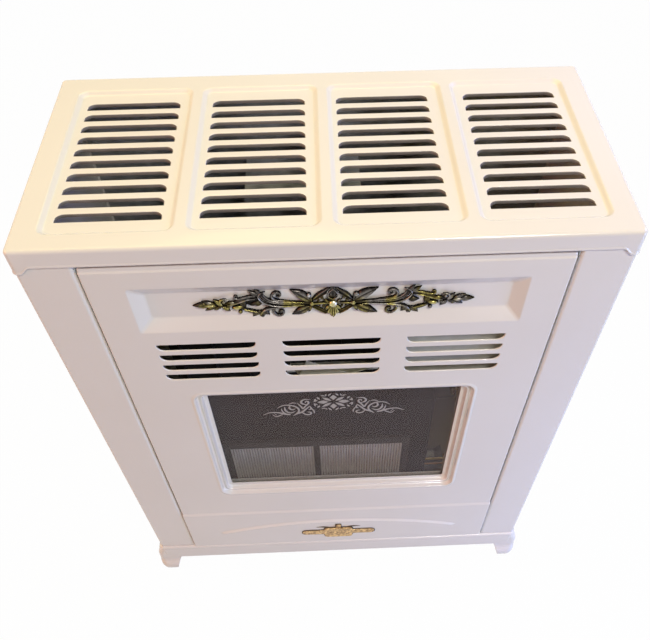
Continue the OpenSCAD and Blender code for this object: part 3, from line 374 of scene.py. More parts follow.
# Top cover: rolled edges, corner tabs, four sunk banks of ten slots
cover = {
    "width": 605, "depth": 300, "corner": 6, "roll": 4, "rollSteps": 6,
    "skirt": 27.5, "frontSkirt": 20, "frontBand": 1.5, "beadBand": 3.6, "tab": 8, "tabRun": 11,
    "bead": 0.7,  # how far the rolled bead of the skirt stands out
    "beadLine": [(0, 3.4), (0.35, 2.7), (0.85, 1.9), (1, 1.2), (0.85, 0.5), (0.4, 0.05), (-0.6, 0)],
    "banks": 4, "bankPitch": 141, "bankWidth": 132, "bankLength": 250.3, "bankCorner": 12,
    "bankForward": 2.15, "bankSink": 3.5, "bankRun": 6.5,
    "slots": 10, "slotPitch": 21.4, "slotWidth": 105, "slotDepth": 13.3, "slotRound": 9,
    "slotCorner": 0.5, "firstSlot": 21.7, "slotAside": (-0.6, -1.3, -3.3, 0.3),
    # faces further than shadeBelow under the banks' floor get the painted shade
    "lipDeeper": 2.2, "shadeBelow": 0.35,
}


def coverSlots(bm, size, bank, centre):
    holes = []
    for j in range(size["slots"]):
        front = centre[1] - size["bankLength"] / 2 + size["firstSlot"] + j * size["slotPitch"]
        middle = (centre[0] + size["slotAside"][bank], front + size["slotDepth"] / 2)
        corners = (size["slotCorner"], size["slotRound"])
        hole = ring(bm, size["slotWidth"], size["slotDepth"], corners, middle, -size["bankSink"])
        holes.append(hole)
        rolledLip(bm, hole, middle, (size["slotWidth"], size["slotDepth"]), size["lipDeeper"], 1)
    return holes


def topCover(size):
    bm = bmesh.new()
    bead = [(-size["bead"] * out, up - size["skirt"]) for out, up in size["beadLine"]]
    edge = rolledEdge(size["roll"], size["rollSteps"])
    outline = pressed(bm, size["width"], size["depth"], size["corner"], (0, 0), edge + bead)
    banks = []
    for i in range(size["banks"]):
        centre = ((i - (size["banks"] - 1) / 2) * size["bankPitch"], -size["bankForward"])
        shares = [k / softSteps for k in range(softSteps + 1)]
        sink = [(size["bankRun"] * t, -size["bankSink"] * softStep(t)) for t in shares]
        rings = pressed(bm, size["bankWidth"], size["bankLength"], size["bankCorner"], centre, sink)
        banks.append(rings[0])
        fillBetween(bm, rings[-1], *coverSlots(bm, size, i, centre))
    fillBetween(bm, outline[0], *banks)
    shapeFrontSkirt(bm, size)
    bmesh.ops.recalc_face_normals(bm, faces=bm.faces)
    faceUp(bm)
    bmesh.ops.solidify(bm, geom=bm.faces[:], thickness=sheet)
    markSharp(bm)
    # painted shade: the slots' lips and the banks' undersides get a darker grey, for the shade they
    # lie in
    sideX = size["width"] / 2 - size["roll"]
    sideY = size["depth"] / 2 - size["roll"]
    for f in bm.faces:
        middle = f.calc_center_median()
        if (middle.z < -size["bankSink"] - size["shadeBelow"]
                and abs(middle.x) < sideX and abs(middle.y) < sideY):
            f.material_index = 1
    made = place(bm, "topCover", lying(topZ), finishes["enamel"], "cabinet", ["top_cover"])
    made.data.materials.append(paintedLipShade)


# The skirt's front is cut back between two corner tabs, in a soft step
def shapeFrontSkirt(bm, size):
    edgeX = size["width"] / 2 - size["tab"]
    front = size["frontBand"] - size["depth"] / 2
    cuts = [sx * (edgeX - size["tabRun"] * k / softSteps)
            for sx in (-1, 1) for k in range(softSteps + 1)]
    for x in cuts:
        wall = [f for f in bm.faces
                if all(v.co.y < front and v.co.z < -size["roll"] + near for v in f.verts)]
        geometry = list(dict.fromkeys(g for f in wall for g in (f, *f.edges, *f.verts)))
        bmesh.ops.bisect_plane(bm, geom=geometry, plane_co=(x, 0, 0), plane_no=(1, 0, 0),
                               dist=cutReach)
    for v in bm.verts:
        if v.co.y < front and v.co.z < size["beadBand"] - size["skirt"]:
            share = softStep((edgeX - abs(v.co.x)) / size["tabRun"])
            v.co.z += (size["skirt"] - size["frontSkirt"]) * share


# Turns every face over where the largest one looks away from +Z
def faceUp(bm):
    largest = max(bm.faces, key=lambda f: f.calc_area())
    largest.normal_update()
    if largest.normal.z < 0:
        bmesh.ops.reverse_faces(bm, faces=bm.faces[:])


topCover(cover)
print("top cover made")


# Front panel: one pressed sheet with ledge, tray, louvres, window frame, arc bead and crease
panel = {
    "middle": (doorLow.x + doorHigh.x) / 2 / mm, "width": (doorHigh.x - doorLow.x) / mm + 0.2,
    "bottom": doorLow.z / mm, "top": doorHigh.z / mm, "topGap": 3.0,
    "corner": 4, "roll": 2.4, "rollSteps": 5, "return": 16, "faceBand": 0.1,
    "step": 1.5, "slope": 2.6, "ledgeDrop": 10.5,
    "kick": 2.7, "creaseSlope": 5.4, "creaseRise": 109, "foldSteps": 6,
    "trayDrop": 32, "trayWidth": 405, "trayHeight": 63, "trayDepth": 9.5, "trayRun": 14,
    "trayRunShare": 1.036, "trayCorner": 3.5,
    "louvreBanks": 3, "louvres": 4, "louvreDrop": 19, "louvrePitch": 16.9, "louvrePitchX": 137.6,
    "louvreWidth": 110, "louvreHeight": 11.4, "louvreRound": 9, "louvreCorner": 0.5,
    "lipDeeper": 0.5,
    "windowWidth": 313, "windowHeight": 216, "windowRise": 295, "windowAside": 2,
    "windowCorner": 3, "windowCornerGrow": 0.75, "windowSegments": 8,
    "arcSpan": 386, "arcAside": 1.3, "arcRise": 30.5, "arcFoot": 47, "arcHalfWidth": 4.4,
    "arcHeight": 3.4, "arcSunk": 0.06, "arcFade": 0.012, "arcEndWidth": 0.35, "arcSteps": 72,
    "arcHalfSteps": 5,
}
# the tray's rim in millimetres, then its slope as shares of the run and the depth
trayRim = [(-1.2, 0), (-0.4, -0.05), (0.3, -0.35)]
traySlope = [(0.12, 0.12), (0.5, 0.5), (0.88, 0.88), (0.96, 0.975), (1.08, 1)]
# the window frame from its outer bead inwards to the glass, as (outward, level)
windowProfile = [
    (18.6, 0), (17.4, 0.22), (16.5, 0.75), (15.6, 1.12), (14.7, 1.2), (13.9, 0.95), (13.2, 0.1),
    (12.8, -1.6), (12.3, -3.6), (11.7, -4.8), (10.9, -5.3), (10.0, -5.2), (9.2, -4.6), (8.4, -3.9),
    (7.5, -3.6), (6.6, -3.9), (5.9, -5.0), (5.4, -7.2), (4.8, -9.2), (3.9, -9.9), (0.7, -10.0),
    (0.15, -10.25), (0, -10.9),
]


def windowRings(bm, size):
    centre = (size["windowAside"], deckZ / mm + size["windowRise"])
    rings = []
    for outward, level in windowProfile:
        corner = size["windowCorner"] + size["windowCornerGrow"] * outward
        rings.append(ring(bm, size["windowWidth"] + 2 * outward, size["windowHeight"] + 2 * outward,
                          corner, centre, level, size["windowSegments"]))
    join(bm, rings)
    return rings


def trayRings(bm, size):
    centre = (0, size["top"] - size["trayDrop"] - size["trayHeight"] / 2)
    steps = [(inset, inset, level) for inset, level in trayRim]
    for share, depth in traySlope:
        inset = share * size["trayRun"]
        steps.append((inset, inset * size["trayRunShare"], -depth * size["trayDepth"]))
    rings = []
    for insetX, insetY, level in steps:
        rings.append(ring(bm, size["trayWidth"] - 2 * insetX, size["trayHeight"] - 2 * insetY,
                          size["trayCorner"], centre, level))
    join(bm, rings)
    bmesh.ops.edgeloop_fill(bm, edges=rings[-1])
    return rings


def louvreHoles(bm, size):
    holes = []
    firstEdge = size["top"] - size["trayDrop"] - size["trayHeight"] - size["louvreDrop"]
    for i in range(size["louvreBanks"]):
        for j in range(size["louvres"]):
            x = (i - (size["louvreBanks"] - 1) / 2) * size["louvrePitchX"]
            centre = (x, firstEdge - j * size["louvrePitch"] - size["louvreHeight"] / 2)
            corners = (size["louvreRound"], size["louvreCorner"])
            hole = ring(bm, size["louvreWidth"], size["louvreHeight"], corners, centre)
            holes.append(hole)
            rolledLip(bm, hole, centre, (size["louvreWidth"], size["louvreHeight"]),
                      size["lipDeeper"], -1)
    return holes


# Soft bead bent to an arc, its ends running out in the sheet
def arcBead(bm, size):
    before = set(bm.verts)
    radius = (size["arcSpan"] ** 2 / 4 + size["arcRise"] ** 2) / (2 * size["arcRise"])
    half = math.asin(size["arcSpan"] / 2 / radius)
    centre = (size["arcAside"], deckZ / mm + size["arcFoot"] + size["arcRise"] - radius, 0)
    low = size["kick"] - size["arcSunk"]
    steps = size["arcHalfSteps"]
    across = [size["arcHalfWidth"] * k / steps for k in range(-steps, steps + 1)]
    profile = []
    for u in across:
        crown = low + size["arcHeight"] * 0.5 * (1 + math.cos(math.pi * u / size["arcHalfWidth"]))
        at = Matrix.Rotation(half, 3, "Z") @ Vector((0, radius + u, crown))
        profile.append(bm.verts.new(at + Vector(centre)))
    line = [bm.edges.new(pair) for pair in zip(profile, profile[1:])]
    bmesh.ops.spin(bm, geom=profile + line, cent=centre, axis=(0, 0, -1), angle=2 * half,
                   steps=size["arcSteps"])
    for v in set(bm.verts) - before:
        offset = v.co - Vector(centre)
        turn = math.atan2(offset.x, offset.y)
        distance = math.hypot(offset.x, offset.y)
        fade = softStep((half - abs(turn)) / size["arcFade"])
        v.co.z = low + (v.co.z - low) * fade
        share = size["arcEndWidth"] + (1 - size["arcEndWidth"]) * fade
        narrow = radius + (distance - radius) * share
        v.co.x = centre[0] + narrow * math.sin(turn)
        v.co.y = centre[1] + narrow * math.cos(turn)


def doorPanel(size):
    bm = bmesh.new()
    top = size["top"] - size["topGap"]
    middle = (size["middle"], (size["bottom"] + top) / 2)
    edge = rolledEdge(size["roll"], size["rollSteps"]) + [(0, -size["return"])]
    outline = pressed(bm, size["width"], top - size["bottom"], size["corner"], middle, edge)
    window = windowRings(bm, size)
    tray = trayRings(bm, size)
    holes = louvreHoles(bm, size)
    fillBetween(bm, outline[0], window[0], tray[0], *holes)
    foldFace(bm, size)
    bmesh.ops.recalc_face_normals(bm, faces=bm.faces)
    faceUp(bm)
    panelVerts = set(bm.verts)
    arcBead(bm, size)
    beadFaces = [f for f in bm.faces if not panelVerts.intersection(f.verts)]
    for f in beadFaces:
        f.normal_update()
    bmesh.ops.reverse_faces(bm, faces=[f for f in beadFaces if f.normal.z < 0])
    bmesh.ops.solidify(bm, geom=bm.faces[:], thickness=sheet)
    markSharp(bm)
    place(bm, "doorPanel", upright(mainY), finishes["enamel"], "front_panel", ["front_panel"])


# The strip above the ledge lies back and the foot below the crease stands forward by one step
def foldFace(bm, size):
    ledge = size["top"] - size["ledgeDrop"]
    crease = deckZ / mm + size["creaseRise"]
    for level, run in ((ledge, size["slope"]), (crease, size["creaseSlope"])):
        for k in range(size["foldSteps"] + 1):
            everything = bm.verts[:] + bm.edges[:] + bm.faces[:]
            cut = (0, level + run * k / size["foldSteps"], 0)
            bmesh.ops.bisect_plane(bm, geom=everything, plane_co=cut, plane_no=(0, 1, 0),
                                   dist=cutReach)
    for v in bm.verts:
        if v.co.z > -size["roll"] - size["faceBand"]:
            below = crease + size["creaseSlope"] - v.co.y
            v.co.z -= size["step"] * softStep((v.co.y - ledge) / size["slope"])
            v.co.z += size["kick"] * softStep(below / size["creaseSlope"])


doorPanel(panel)
print("front panel made")


# Rolled edge round the plinth's top, a little proud of the cabinet
plinth = {
    "width": cover["width"], "depth": cover["depth"], "corner": 6,
    "roll": [(1.8, 0.3), (0.2, 0.2), (-1.0, -0.5), (-1.8, -1.6), (-2.2, -2.9), (-2.3, -4.2),
             (-2.0, -5.5), (-1.2, -6.6), (0.2, -7.2), (0.9, -7.3)],
}


def plinthEdge(size):
    bm = bmesh.new()
    rings = pressed(bm, size["width"], size["depth"], size["corner"], (0, 0), size["roll"])
    join(bm, (rings[-1], rings[0]))
    bmesh.ops.recalc_face_normals(bm, faces=bm.faces)
    markSharp(bm)
    place(bm, "plinthEdge", lying(deckZ), finishes["enamel"], "cabinet", ())


plinthEdge(plinth)

# Corner feet; a section is height, flare to the side, flare to the front, width of the leg, corner
foot = {
    "depth": 34, "innerCorner": 1.2, "sharpAngle": 50,
    "sections": [
        (64, 0.3, -1.0, 20, 5), (59, 1.2, -1.0, 20.5, 6), (54, 3.4, -0.9, 21, 7),
        (48, 6.8, -0.7, 22, 8), (42, 9.8, -0.4, 23.5, 9), (36, 11.4, 0, 26, 10),
        (31, 11.8, 0.2, 28.4, 10), (26, 11.8, 0.6, 26.6, 11), (22, 11.8, 1.6, 24.8, 12),
        (19, 11.6, 4.0, 23.6, 13), (16, 11.4, 7.2, 22.4, 14), (12.5, 11, 8.8, 21, 14),
        (8, 10.6, 9.2, 19.8, 14), (4.5, 10, 8.8, 18.6, 14), (2, 8.8, 7.8, 17.4, 13.5),
        (0.6, 7.4, 6.6, 16.2, 13), (0, 5.6, 5.2, 15.2, 12),
    ],
    "places": {"foot_front_left": (-1, -1), "foot_front_right": (1, -1),
               "foot_rear_left": (-1, 1), "foot_rear_right": (1, 1)},
}


def cornerFoot(size, name, sx, sy):
    bm = bmesh.new()
    rings = []
    for level, side, front, wide, corner in size["sections"]:
        centre = ((size["depth"] - front) / 2, (wide - side) / 2)
        corners = (corner, size["innerCorner"])
        rings.append(ring(bm, size["depth"] + front, side + wide, corners, centre, level))
    join(bm, rings)
    bmesh.ops.edgeloop_fill(bm, edges=rings[0])
    bmesh.ops.edgeloop_fill(bm, edges=rings[-1])
    # local x runs back from the plinth's front face, local y runs in from its side
    for v in bm.verts:
        deep, across = v.co.x, v.co.y
        v.co.x = sx * (cover["width"] / 2 - across)
        v.co.y = sy * (cover["depth"] / 2 - deep)
    bmesh.ops.recalc_face_normals(bm, faces=bm.faces)
    markSharp(bm, math.radians(size["sharpAngle"]))
    place(bm, "shaped_" + name, lying(0), finishes["enamel"], "cabinet", [name])


for name, (sx, sy) in foot["places"].items():
    cornerFoot(foot, name, sx, sy)
print("plinth edge and feet made")


# Tapered strokes and leaves, for the cast ornament and the etching. A stroke is a smooth line
# along points (x, y, width), flattened to the height given
def stroke(bm, points, height, level=0.0, sides=3, steps=5):
    curve = bpy.data.curves.new("stroke", "CURVE")
    curve.dimensions = "3D"
    curve.bevel_depth = 1.0
    curve.bevel_resolution = sides
    curve.use_fill_caps = True
    curve.resolution_u = steps
    spline = curve.splines.new("NURBS")
    spline.points.add(len(points) - 1)
    for point, (x, y, width) in zip(spline.points, points):
        point.co = (x, y, 0, 1)
        point.radius = width / 2
    spline.order_u = 3
    spline.use_endpoint_u = True
    holder = addObject("stroke", curve)
    bpy.context.view_layer.update()
    graph = bpy.context.evaluated_depsgraph_get()
    mesh = bpy.data.meshes.new_from_object(holder.evaluated_get(graph))
    thickest = max(width for x, y, width in points) / 2
    flatten = Matrix.Diagonal((1, 1, height / thickest, 1))
    mesh.transform(Matrix.Translation((0, 0, level)) @ flatten)
    bm.from_mesh(mesh)
    bpy.data.objects.remove(holder)
    bpy.data.curves.remove(curve)
    bpy.data.meshes.remove(mesh)


def spiral(centre, radius, start, turns, width, inner=0.25, taper=0.45, count=14):
    points = []
    for k in range(count + 1):
        t = k / count
        angle = math.radians(start + 360 * turns * t)
        r = radius * (1 - (1 - inner) * t)
        across = width * (1 - taper * t)
        points.append((centre[0] + r * math.cos(angle), centre[1] + r * math.sin(angle), across))
    return points


# Shares of a leaf's height and half width, and its steps along and across
leafForm = {
    "tipWidth": 0.02, "endCrown": 0.45, "veinDepth": 0.42, "veinWidth": 0.16, "ribDepth": 0.22,
    "steps": (12, 10),
}


# Leaf from base to tip, veined and arched. bend swings its middle sideways, and fat is how far
# along it is widest
def leaf(bm, base, tip, width, height, level=0.0, bend=0.0, ribs=0, fat=0.42, flat=False):
    along = Vector((tip[0] - base[0], tip[1] - base[1], 0))
    side = Vector((-along.y, along.x, 0)).normalized()
    lengthwise, crosswise = leafForm["steps"]
    made = bmesh.ops.create_grid(bm, x_segments=lengthwise, y_segments=crosswise, size=1)
    for v in made["verts"]:
        u = (v.co.x + 1) / 2
        w = v.co.y
        swell = math.sin(math.pi * min(max(u, 0.0), 1.0) ** (math.log(0.5) / math.log(fat)))
        half = width / 2 * max(swell, leafForm["tipWidth"])
        share = leafForm["endCrown"] + (1 - leafForm["endCrown"]) * swell
        crown = height * math.sqrt(max(1 - w * w, 0)) * share
        if not flat:
            vein = math.exp(-(w / leafForm["veinWidth"]) ** 2)
            crown -= leafForm["veinDepth"] * height * vein * swell
            if ribs:
                wave = 0.5 + 0.5 * math.cos(ribs * math.pi * w)
                crown -= leafForm["ribDepth"] * height * wave * swell
        at = Vector((*base, 0)) + along * u + side * (w * half + bend * math.sin(math.pi * u))
        v.co = (at.x, at.y, level + crown)
    # the underside is closed, and the rim stays sharp
    rim = [e for e in dict.fromkeys(e for v in made["verts"] for e in v.link_edges)
           if e.is_boundary]
    for e in rim:
        e.smooth = False
    bmesh.ops.edgeloop_fill(bm, edges=rim)


def ball(bm, centre, radius, level=0.0, tall=0.8, around=14, up=8):
    made = bmesh.ops.create_uvsphere(bm, u_segments=around, v_segments=up, radius=radius)
    bmesh.ops.scale(bm, vec=(1, 1, tall), verts=made["verts"])
    bmesh.ops.translate(bm, vec=(centre[0], centre[1], level), verts=made["verts"])


def mirrored(bm):
    copy = bmesh.ops.duplicate(bm, geom=bm.verts[:] + bm.edges[:] + bm.faces[:])["geom"]
    verts = [g for g in copy if isinstance(g, bmesh.types.BMVert)]
    faces = [g for g in copy if isinstance(g, bmesh.types.BMFace)]
    bmesh.ops.scale(bm, vec=(-1, 1, 1), verts=verts)
    bmesh.ops.reverse_faces(bm, faces=faces)


# Cast ornament on the tray's floor: the right half is drawn, then mirrored
ornament = {
    "height": 4.0, "halfLength": 145, "aside": 3.0, "rise": -1.2, "droop": 1.1, "sunk": 0.02,
    "leftReach": [(0, 0), (21, 22.3), (46, 43.6), (60, 57.4), (80, 76), (90, 86), (104, 99.5),
                  (117, 113), (125, 121.5), (133, 131.5), (146, 146)],
    "rightReach": [(0, 0), (21, 21), (61, 62), (125, 125.4), (133, 134.5), (146, 148.4)],
}


# The two halves of the real casting aren't quite alike, so each is stretched along by its own steps
def stretched(x, steps):
    far = abs(x)
    for (a, fromA), (b, fromB) in zip(steps, steps[1:]):
        if far <= b:
            return math.copysign(fromA + (fromB - fromA) * (far - a) / (b - a), x)
    return math.copysign(far + steps[-1][1] - steps[-1][0], x)


def ornamentHalf(bm, h):
    def rib(points, tall=0.45, level=0.7):
        stroke(bm, points, h * tall, h * level, sides=2)
    # stem: a band that widens outwards and sweeps up to the left tip of the upper calyx
    stroke(bm, [(4, 0.1, 2.6), (13, -0.3, 2.8), (21, -0.5, 3.6), (34, 0.1, 5.0), (48, 0.7, 6.6),
                (60, 0.9, 6.8), (68, 3.4, 6.6), (75, 8, 6.4), (78.5, 13, 4.6), (76.5, 16.6, 2.6),
                (72.5, 17.6, 0.8)], h * 0.55, h * 0.25)
    rib([(30, -1.6, 1.2), (50, -2.6, 1.8), (62, -2.2, 1.8), (71, 0.4, 1.8), (77.5, 4.8, 1.9),
         (81, 10, 1.8), (80.5, 14, 1.6), (76.5, 17.8, 1.2), (72.8, 18.2, 0.5)])
    rib([(30, 2.0, 1.0), (50, 3.9, 1.5), (62, 4.4, 1.4), (69, 7.2, 1.4), (74, 12, 1.3),
         (75.4, 15.4, 0.9)])
    rib([(34, 0.3, 1.0), (56, 0.8, 1.4), (68, 3.4, 1.4), (75.5, 8.6, 1.2), (78, 13, 0.7)],
        0.35, 0.65)
    leaf(bm, (79, 13), (90.5, 19.8), 6.0, h * 0.8, h * 0.2, bend=-0.8)
    leaf(bm, (77.5, 14.5), (84, 21.8), 4.6, h * 0.7, h * 0.3)
    # grey strand under it, bent down into the lower calyx
    stroke(bm, [(46, -2.6, 2.4), (58, -4.6, 3.4), (67, -5.4, 4.0), (74.5, -7.4, 4.8),
                (79, -12, 4.6), (80, -17, 2.6)], h * 0.6, h * 0.3)
    rib([(52, -3.4, 1.2), (64, -4.2, 1.5), (73, -5.6, 1.7), (79, -9.4, 1.6), (81, -15, 1.0)])
    leaf(bm, (79, -9), (70.5, -15.4), 7.4, h * 0.8, h * 0.15, bend=-1.2)
    leaf(bm, (79, -8), (78.6, -20.6), 8.4, h * 0.75, h * 0.1, ribs=2)
    leaf(bm, (80, -9), (89.5, -17.4), 7.0, h * 0.8, h * 0.15, bend=0.6)
    # round curls above and below the stem
    stroke(bm, [(44, 3.2, 1.4), (54, 4.4, 2.4), (61.5, 5.2, 3.2), (65.6, 8.4, 3.4), (66.4, 13, 3.2),
                (62.8, 17, 3.0), (58, 16.8, 2.8), (56, 13.2, 2.6), (58.2, 10.2, 2.2), (61, 11, 1.6),
                (60.6, 13, 0.8)], h * 0.65, h * 0.4)
    stroke(bm, [(60, -4.4, 1.8), (65.6, -6.2, 2.6), (65.8, -11, 3.0), (62.4, -15.6, 3.2),
                (57.4, -16.6, 3.0), (54.2, -13, 2.8), (55.8, -9.2, 2.4), (59.2, -9.4, 2.0),
                (60, -12, 1.4), (58.2, -12.8, 0.8)], h * 0.65, h * 0.35)
    # pair of leaves at the joint, with a knob and a bud
    leaf(bm, (21.5, 2.4), (46.4, 19.4), 13.0, h * 1.0, h * 0.15, bend=1.0, ribs=2)
    leaf(bm, (22.5, -4.4), (46, -15.8), 12.0, h * 1.0, h * 0.1, bend=-0.6, ribs=2)
    ball(bm, (24, 11.6), 3.2, h * 0.4, 1.0)
    rib([(21.4, 4, 1.4), (21.6, 10.5, 1.6), (24.4, 14.2, 1.4), (26.6, 11.4, 1.0)], 0.4, 0.6)
    leaf(bm, (21, -3), (25.6, -13), 4.8, h * 0.8, h * 0.2)
    ball(bm, (21, -0.4), 2.8, h * 0.5, 0.9)
    # half of the diamond round the middle: two crested arms, with beads and small leaves between
    stroke(bm, [(21.4, 2, 2.6), (17.4, 7.2, 5.4), (13, 11.8, 6.6), (7.6, 16.2, 5.4), (3, 20, 3.0),
                (0.8, 23.4, 1.4)], h * 0.5, h * 0.2)
    rib([(19.6, 5.6, 1.2), (15.6, 11.4, 1.8), (9, 17, 1.6), (3.4, 21.4, 1.0)], 0.4, 0.6)
    rib([(17.6, 4.4, 1.0), (11.6, 9.4, 1.4), (6, 14.2, 1.0)], 0.4, 0.5)
    stroke(bm, [(21.4, -2.6, 2.6), (17, -7.2, 4.6), (12.4, -10.8, 5.0), (7.6, -13.8, 4.0),
                (4, -15.6, 2.6)], h * 0.5, h * 0.2)
    rib([(20, -5.4, 1.2), (14, -10.6, 1.8), (7, -15, 1.2)], 0.4, 0.6)
    rib([(18, -4, 1.0), (11.6, -8.4, 1.3), (6, -12, 0.9)], 0.4, 0.5)
    rib([(4, 0.2, 2.0), (12, -0.1, 2.8), (20, -0.5, 2.2)], 0.55, 0.5)
    for x, y, r in ((10.6, 7.2, 1.6), (14.2, 3.4, 1.3), (9.2, -4.6, 1.5), (13.4, -5.0, 1.2),
                    (6.8, 4.6, 1.1), (6.4, -7.4, 1.2)):
        ball(bm, (x, y), r, h * 0.45, 1.1)
    leaf(bm, (3.4, 1.6), (9.6, 5.4), 3.0, h * 0.7, h * 0.3)
    leaf(bm, (3.0, -2.6), (9.0, -9.8), 4.0, h * 0.8, h * 0.35)
    # open part between the calyxes: bud, hooked upper band, end leaf, lower band, pearl and knob
    leaf(bm, (77.6, 1.2), (89.4, 1.2), 7.8, h * 0.75, h * 0.1)
    stroke(bm, [(81.6, 7.6, 2.0), (86.4, 11.2, 4.2), (92, 10.6, 4.8), (97, 8.0, 4.6),
                (103, 4.8, 4.2), (110, 2.2, 3.6), (117, 0.8, 2.6)], h * 0.55, h * 0.3)
    rib([(84, 9, 1.1), (91, 9.2, 1.6), (98, 6.4, 1.6), (106, 2.8, 1.5), (114, 0.6, 1.1)])
    rib([(83.6, 12.6, 1.2), (90, 13.2, 1.8), (96.4, 10.8, 2.0), (102, 9.4, 2.0)]
        + spiral((103.6, 12.4), 2.6, -70, 0.85, 2.0), 0.5, 0.55)
    leaf(bm, (100.5, 6), (94.6, -3.6), 8.4, h * 0.75, h * 0.1)
    stroke(bm, [(81.6, -12.4, 3.0), (86.4, -10.2, 5.4), (92, -8.8, 5.4), (97.4, -6.6, 4.2),
                (101.6, -4, 2.6)], h * 0.5, h * 0.25)
    rib([(83, -9.8, 1.2), (90, -7.4, 1.6), (97, -5.4, 1.3)])
    stroke(bm, [(98.4, -1.6, 2.4), (101, -2.2, 4.6), (104.6, -2.8, 5.6), (107.6, -3.1, 4.4),
                (109.8, -3.4, 1.8)], h * 0.85, h * 0.45)
    ball(bm, (101.8, -9.8), 2.5, h * 0.35, 1.0)
    # buds towards the tip
    leaf(bm, (104, 3), (114.4, 4.6), 5.2, h * 0.8, h * 0.3)
    rib([(119.4, 1.6, 2.0), (121.4, 6, 2.4), (118.2, 10.2, 2.4), (113.2, 9.2, 1.4)])
    ball(bm, (116.8, 5.4), 2.1, h * 0.6, 0.9)
    leaf(bm, (119.4, -0.6), (111.8, -8), 6.0, h * 0.85, h * 0.2)
    rib([(111.4, -1.4, 1.4), (114.6, -3.6, 1.8), (118.4, -1.6, 1.2)])
    leaf(bm, (118, 0), (126.4, 9.2), 5.4, h * 0.9, h * 0.25)
    ball(bm, (124.8, -3.9), 2.1, h * 0.45, 0.9)
    leaf(bm, (119, 0.4), (127.4, -6.6), 4.8, h * 0.75, h * 0.1)
    leaf(bm, (124.6, 1.6), (136.4, 7.2), 5.0, h * 0.85, h * 0.2)
    leaf(bm, (124.6, -0.4), (134.8, -6.6), 5.2, h * 0.8, h * 0.15)
    leaf(bm, (124, 0.6), (137, 1.4), 4.2, h * 0.95, h * 0.3)
    leaf(bm, (130.5, 0.5), (145.6, 0.8), 8.4, h * 0.9, h * 0.1, fat=0.4)


def castOrnament(size):
    bm = bmesh.new()
    h = size["height"]
    ornamentHalf(bm, h)
    mirrored(bm)
    # the left opening is closed by one more dark leaf
    leaf(bm, (-79, 3), (-98, 2), 13.0, h * 0.5, 0, ribs=2)
    # top petal with its rim, pearl and the ribbed shell below it
    leaf(bm, (0, 5.4), (0, 18.6), 10.0, h * 0.7, h * 0.2, ribs=2, fat=0.5)
    for k in (-1, 1):
        stroke(bm, [(0, 5.8, 1.0), (k * 4.4, 8, 1.4), (k * 5.0, 13.4, 1.4), (k * 2.6, 17.6, 1.3),
                    (0, 19.6, 1.0)], h * 0.4, h * 0.7, sides=2)
        leaf(bm, (0, 18.4), (k * 1.8, 23.8), 3.4, h * 0.7, h * 0.2)
    for k in (-2, -1, 0, 1, 2):
        low = -22.4 + 2.2 * abs(k) + 0.5 * k * k
        stroke(bm, [(0.5 * k, -2.6, 1.8), (1.5 * k, -7, 2.2), (2.7 * k, -13, 2.9),
                    (1.7 * k, low + 3, 2.2), (1.1 * k, low, 1.0)], h * 0.7, h * 0.5)
    ball(bm, (0, 0.3), 4.5, h * 0.85, 0.85)
    for v in bm.verts:
        v.co.x = stretched(v.co.x, size["leftReach"] if v.co.x < 0 else size["rightReach"])
        v.co.y -= size["droop"] * (v.co.x + size["halfLength"]) / size["halfLength"]
    trayFloor = -panel["trayDepth"] - size["sunk"]
    trayMiddle = panel["top"] - panel["trayDrop"] - panel["trayHeight"] / 2
    bmesh.ops.translate(bm, vec=(size["aside"], trayMiddle + size["rise"], trayFloor),
                        verts=bm.verts)
    bmesh.ops.recalc_face_normals(bm, faces=bm.faces)
    for f in bm.faces:
        f.smooth = True
    place(bm, "castOrnament", upright(mainY), finishes["antique_brass"], "front_panel",
          ["scroll_ornament"], weighted=False)


castOrnament(ornament)
print("cast ornament made")


# Etching on the glass: an eight-petal rosette with a scroll to each side
etching = {
    "rosetteZ": 447.9, "thick": 0.06, "proud": 0.05, "lineShare": 1.2, "diamonds": (8.8, -9.5),
    "diamondSize": (4.4, 5.4, 1),
}


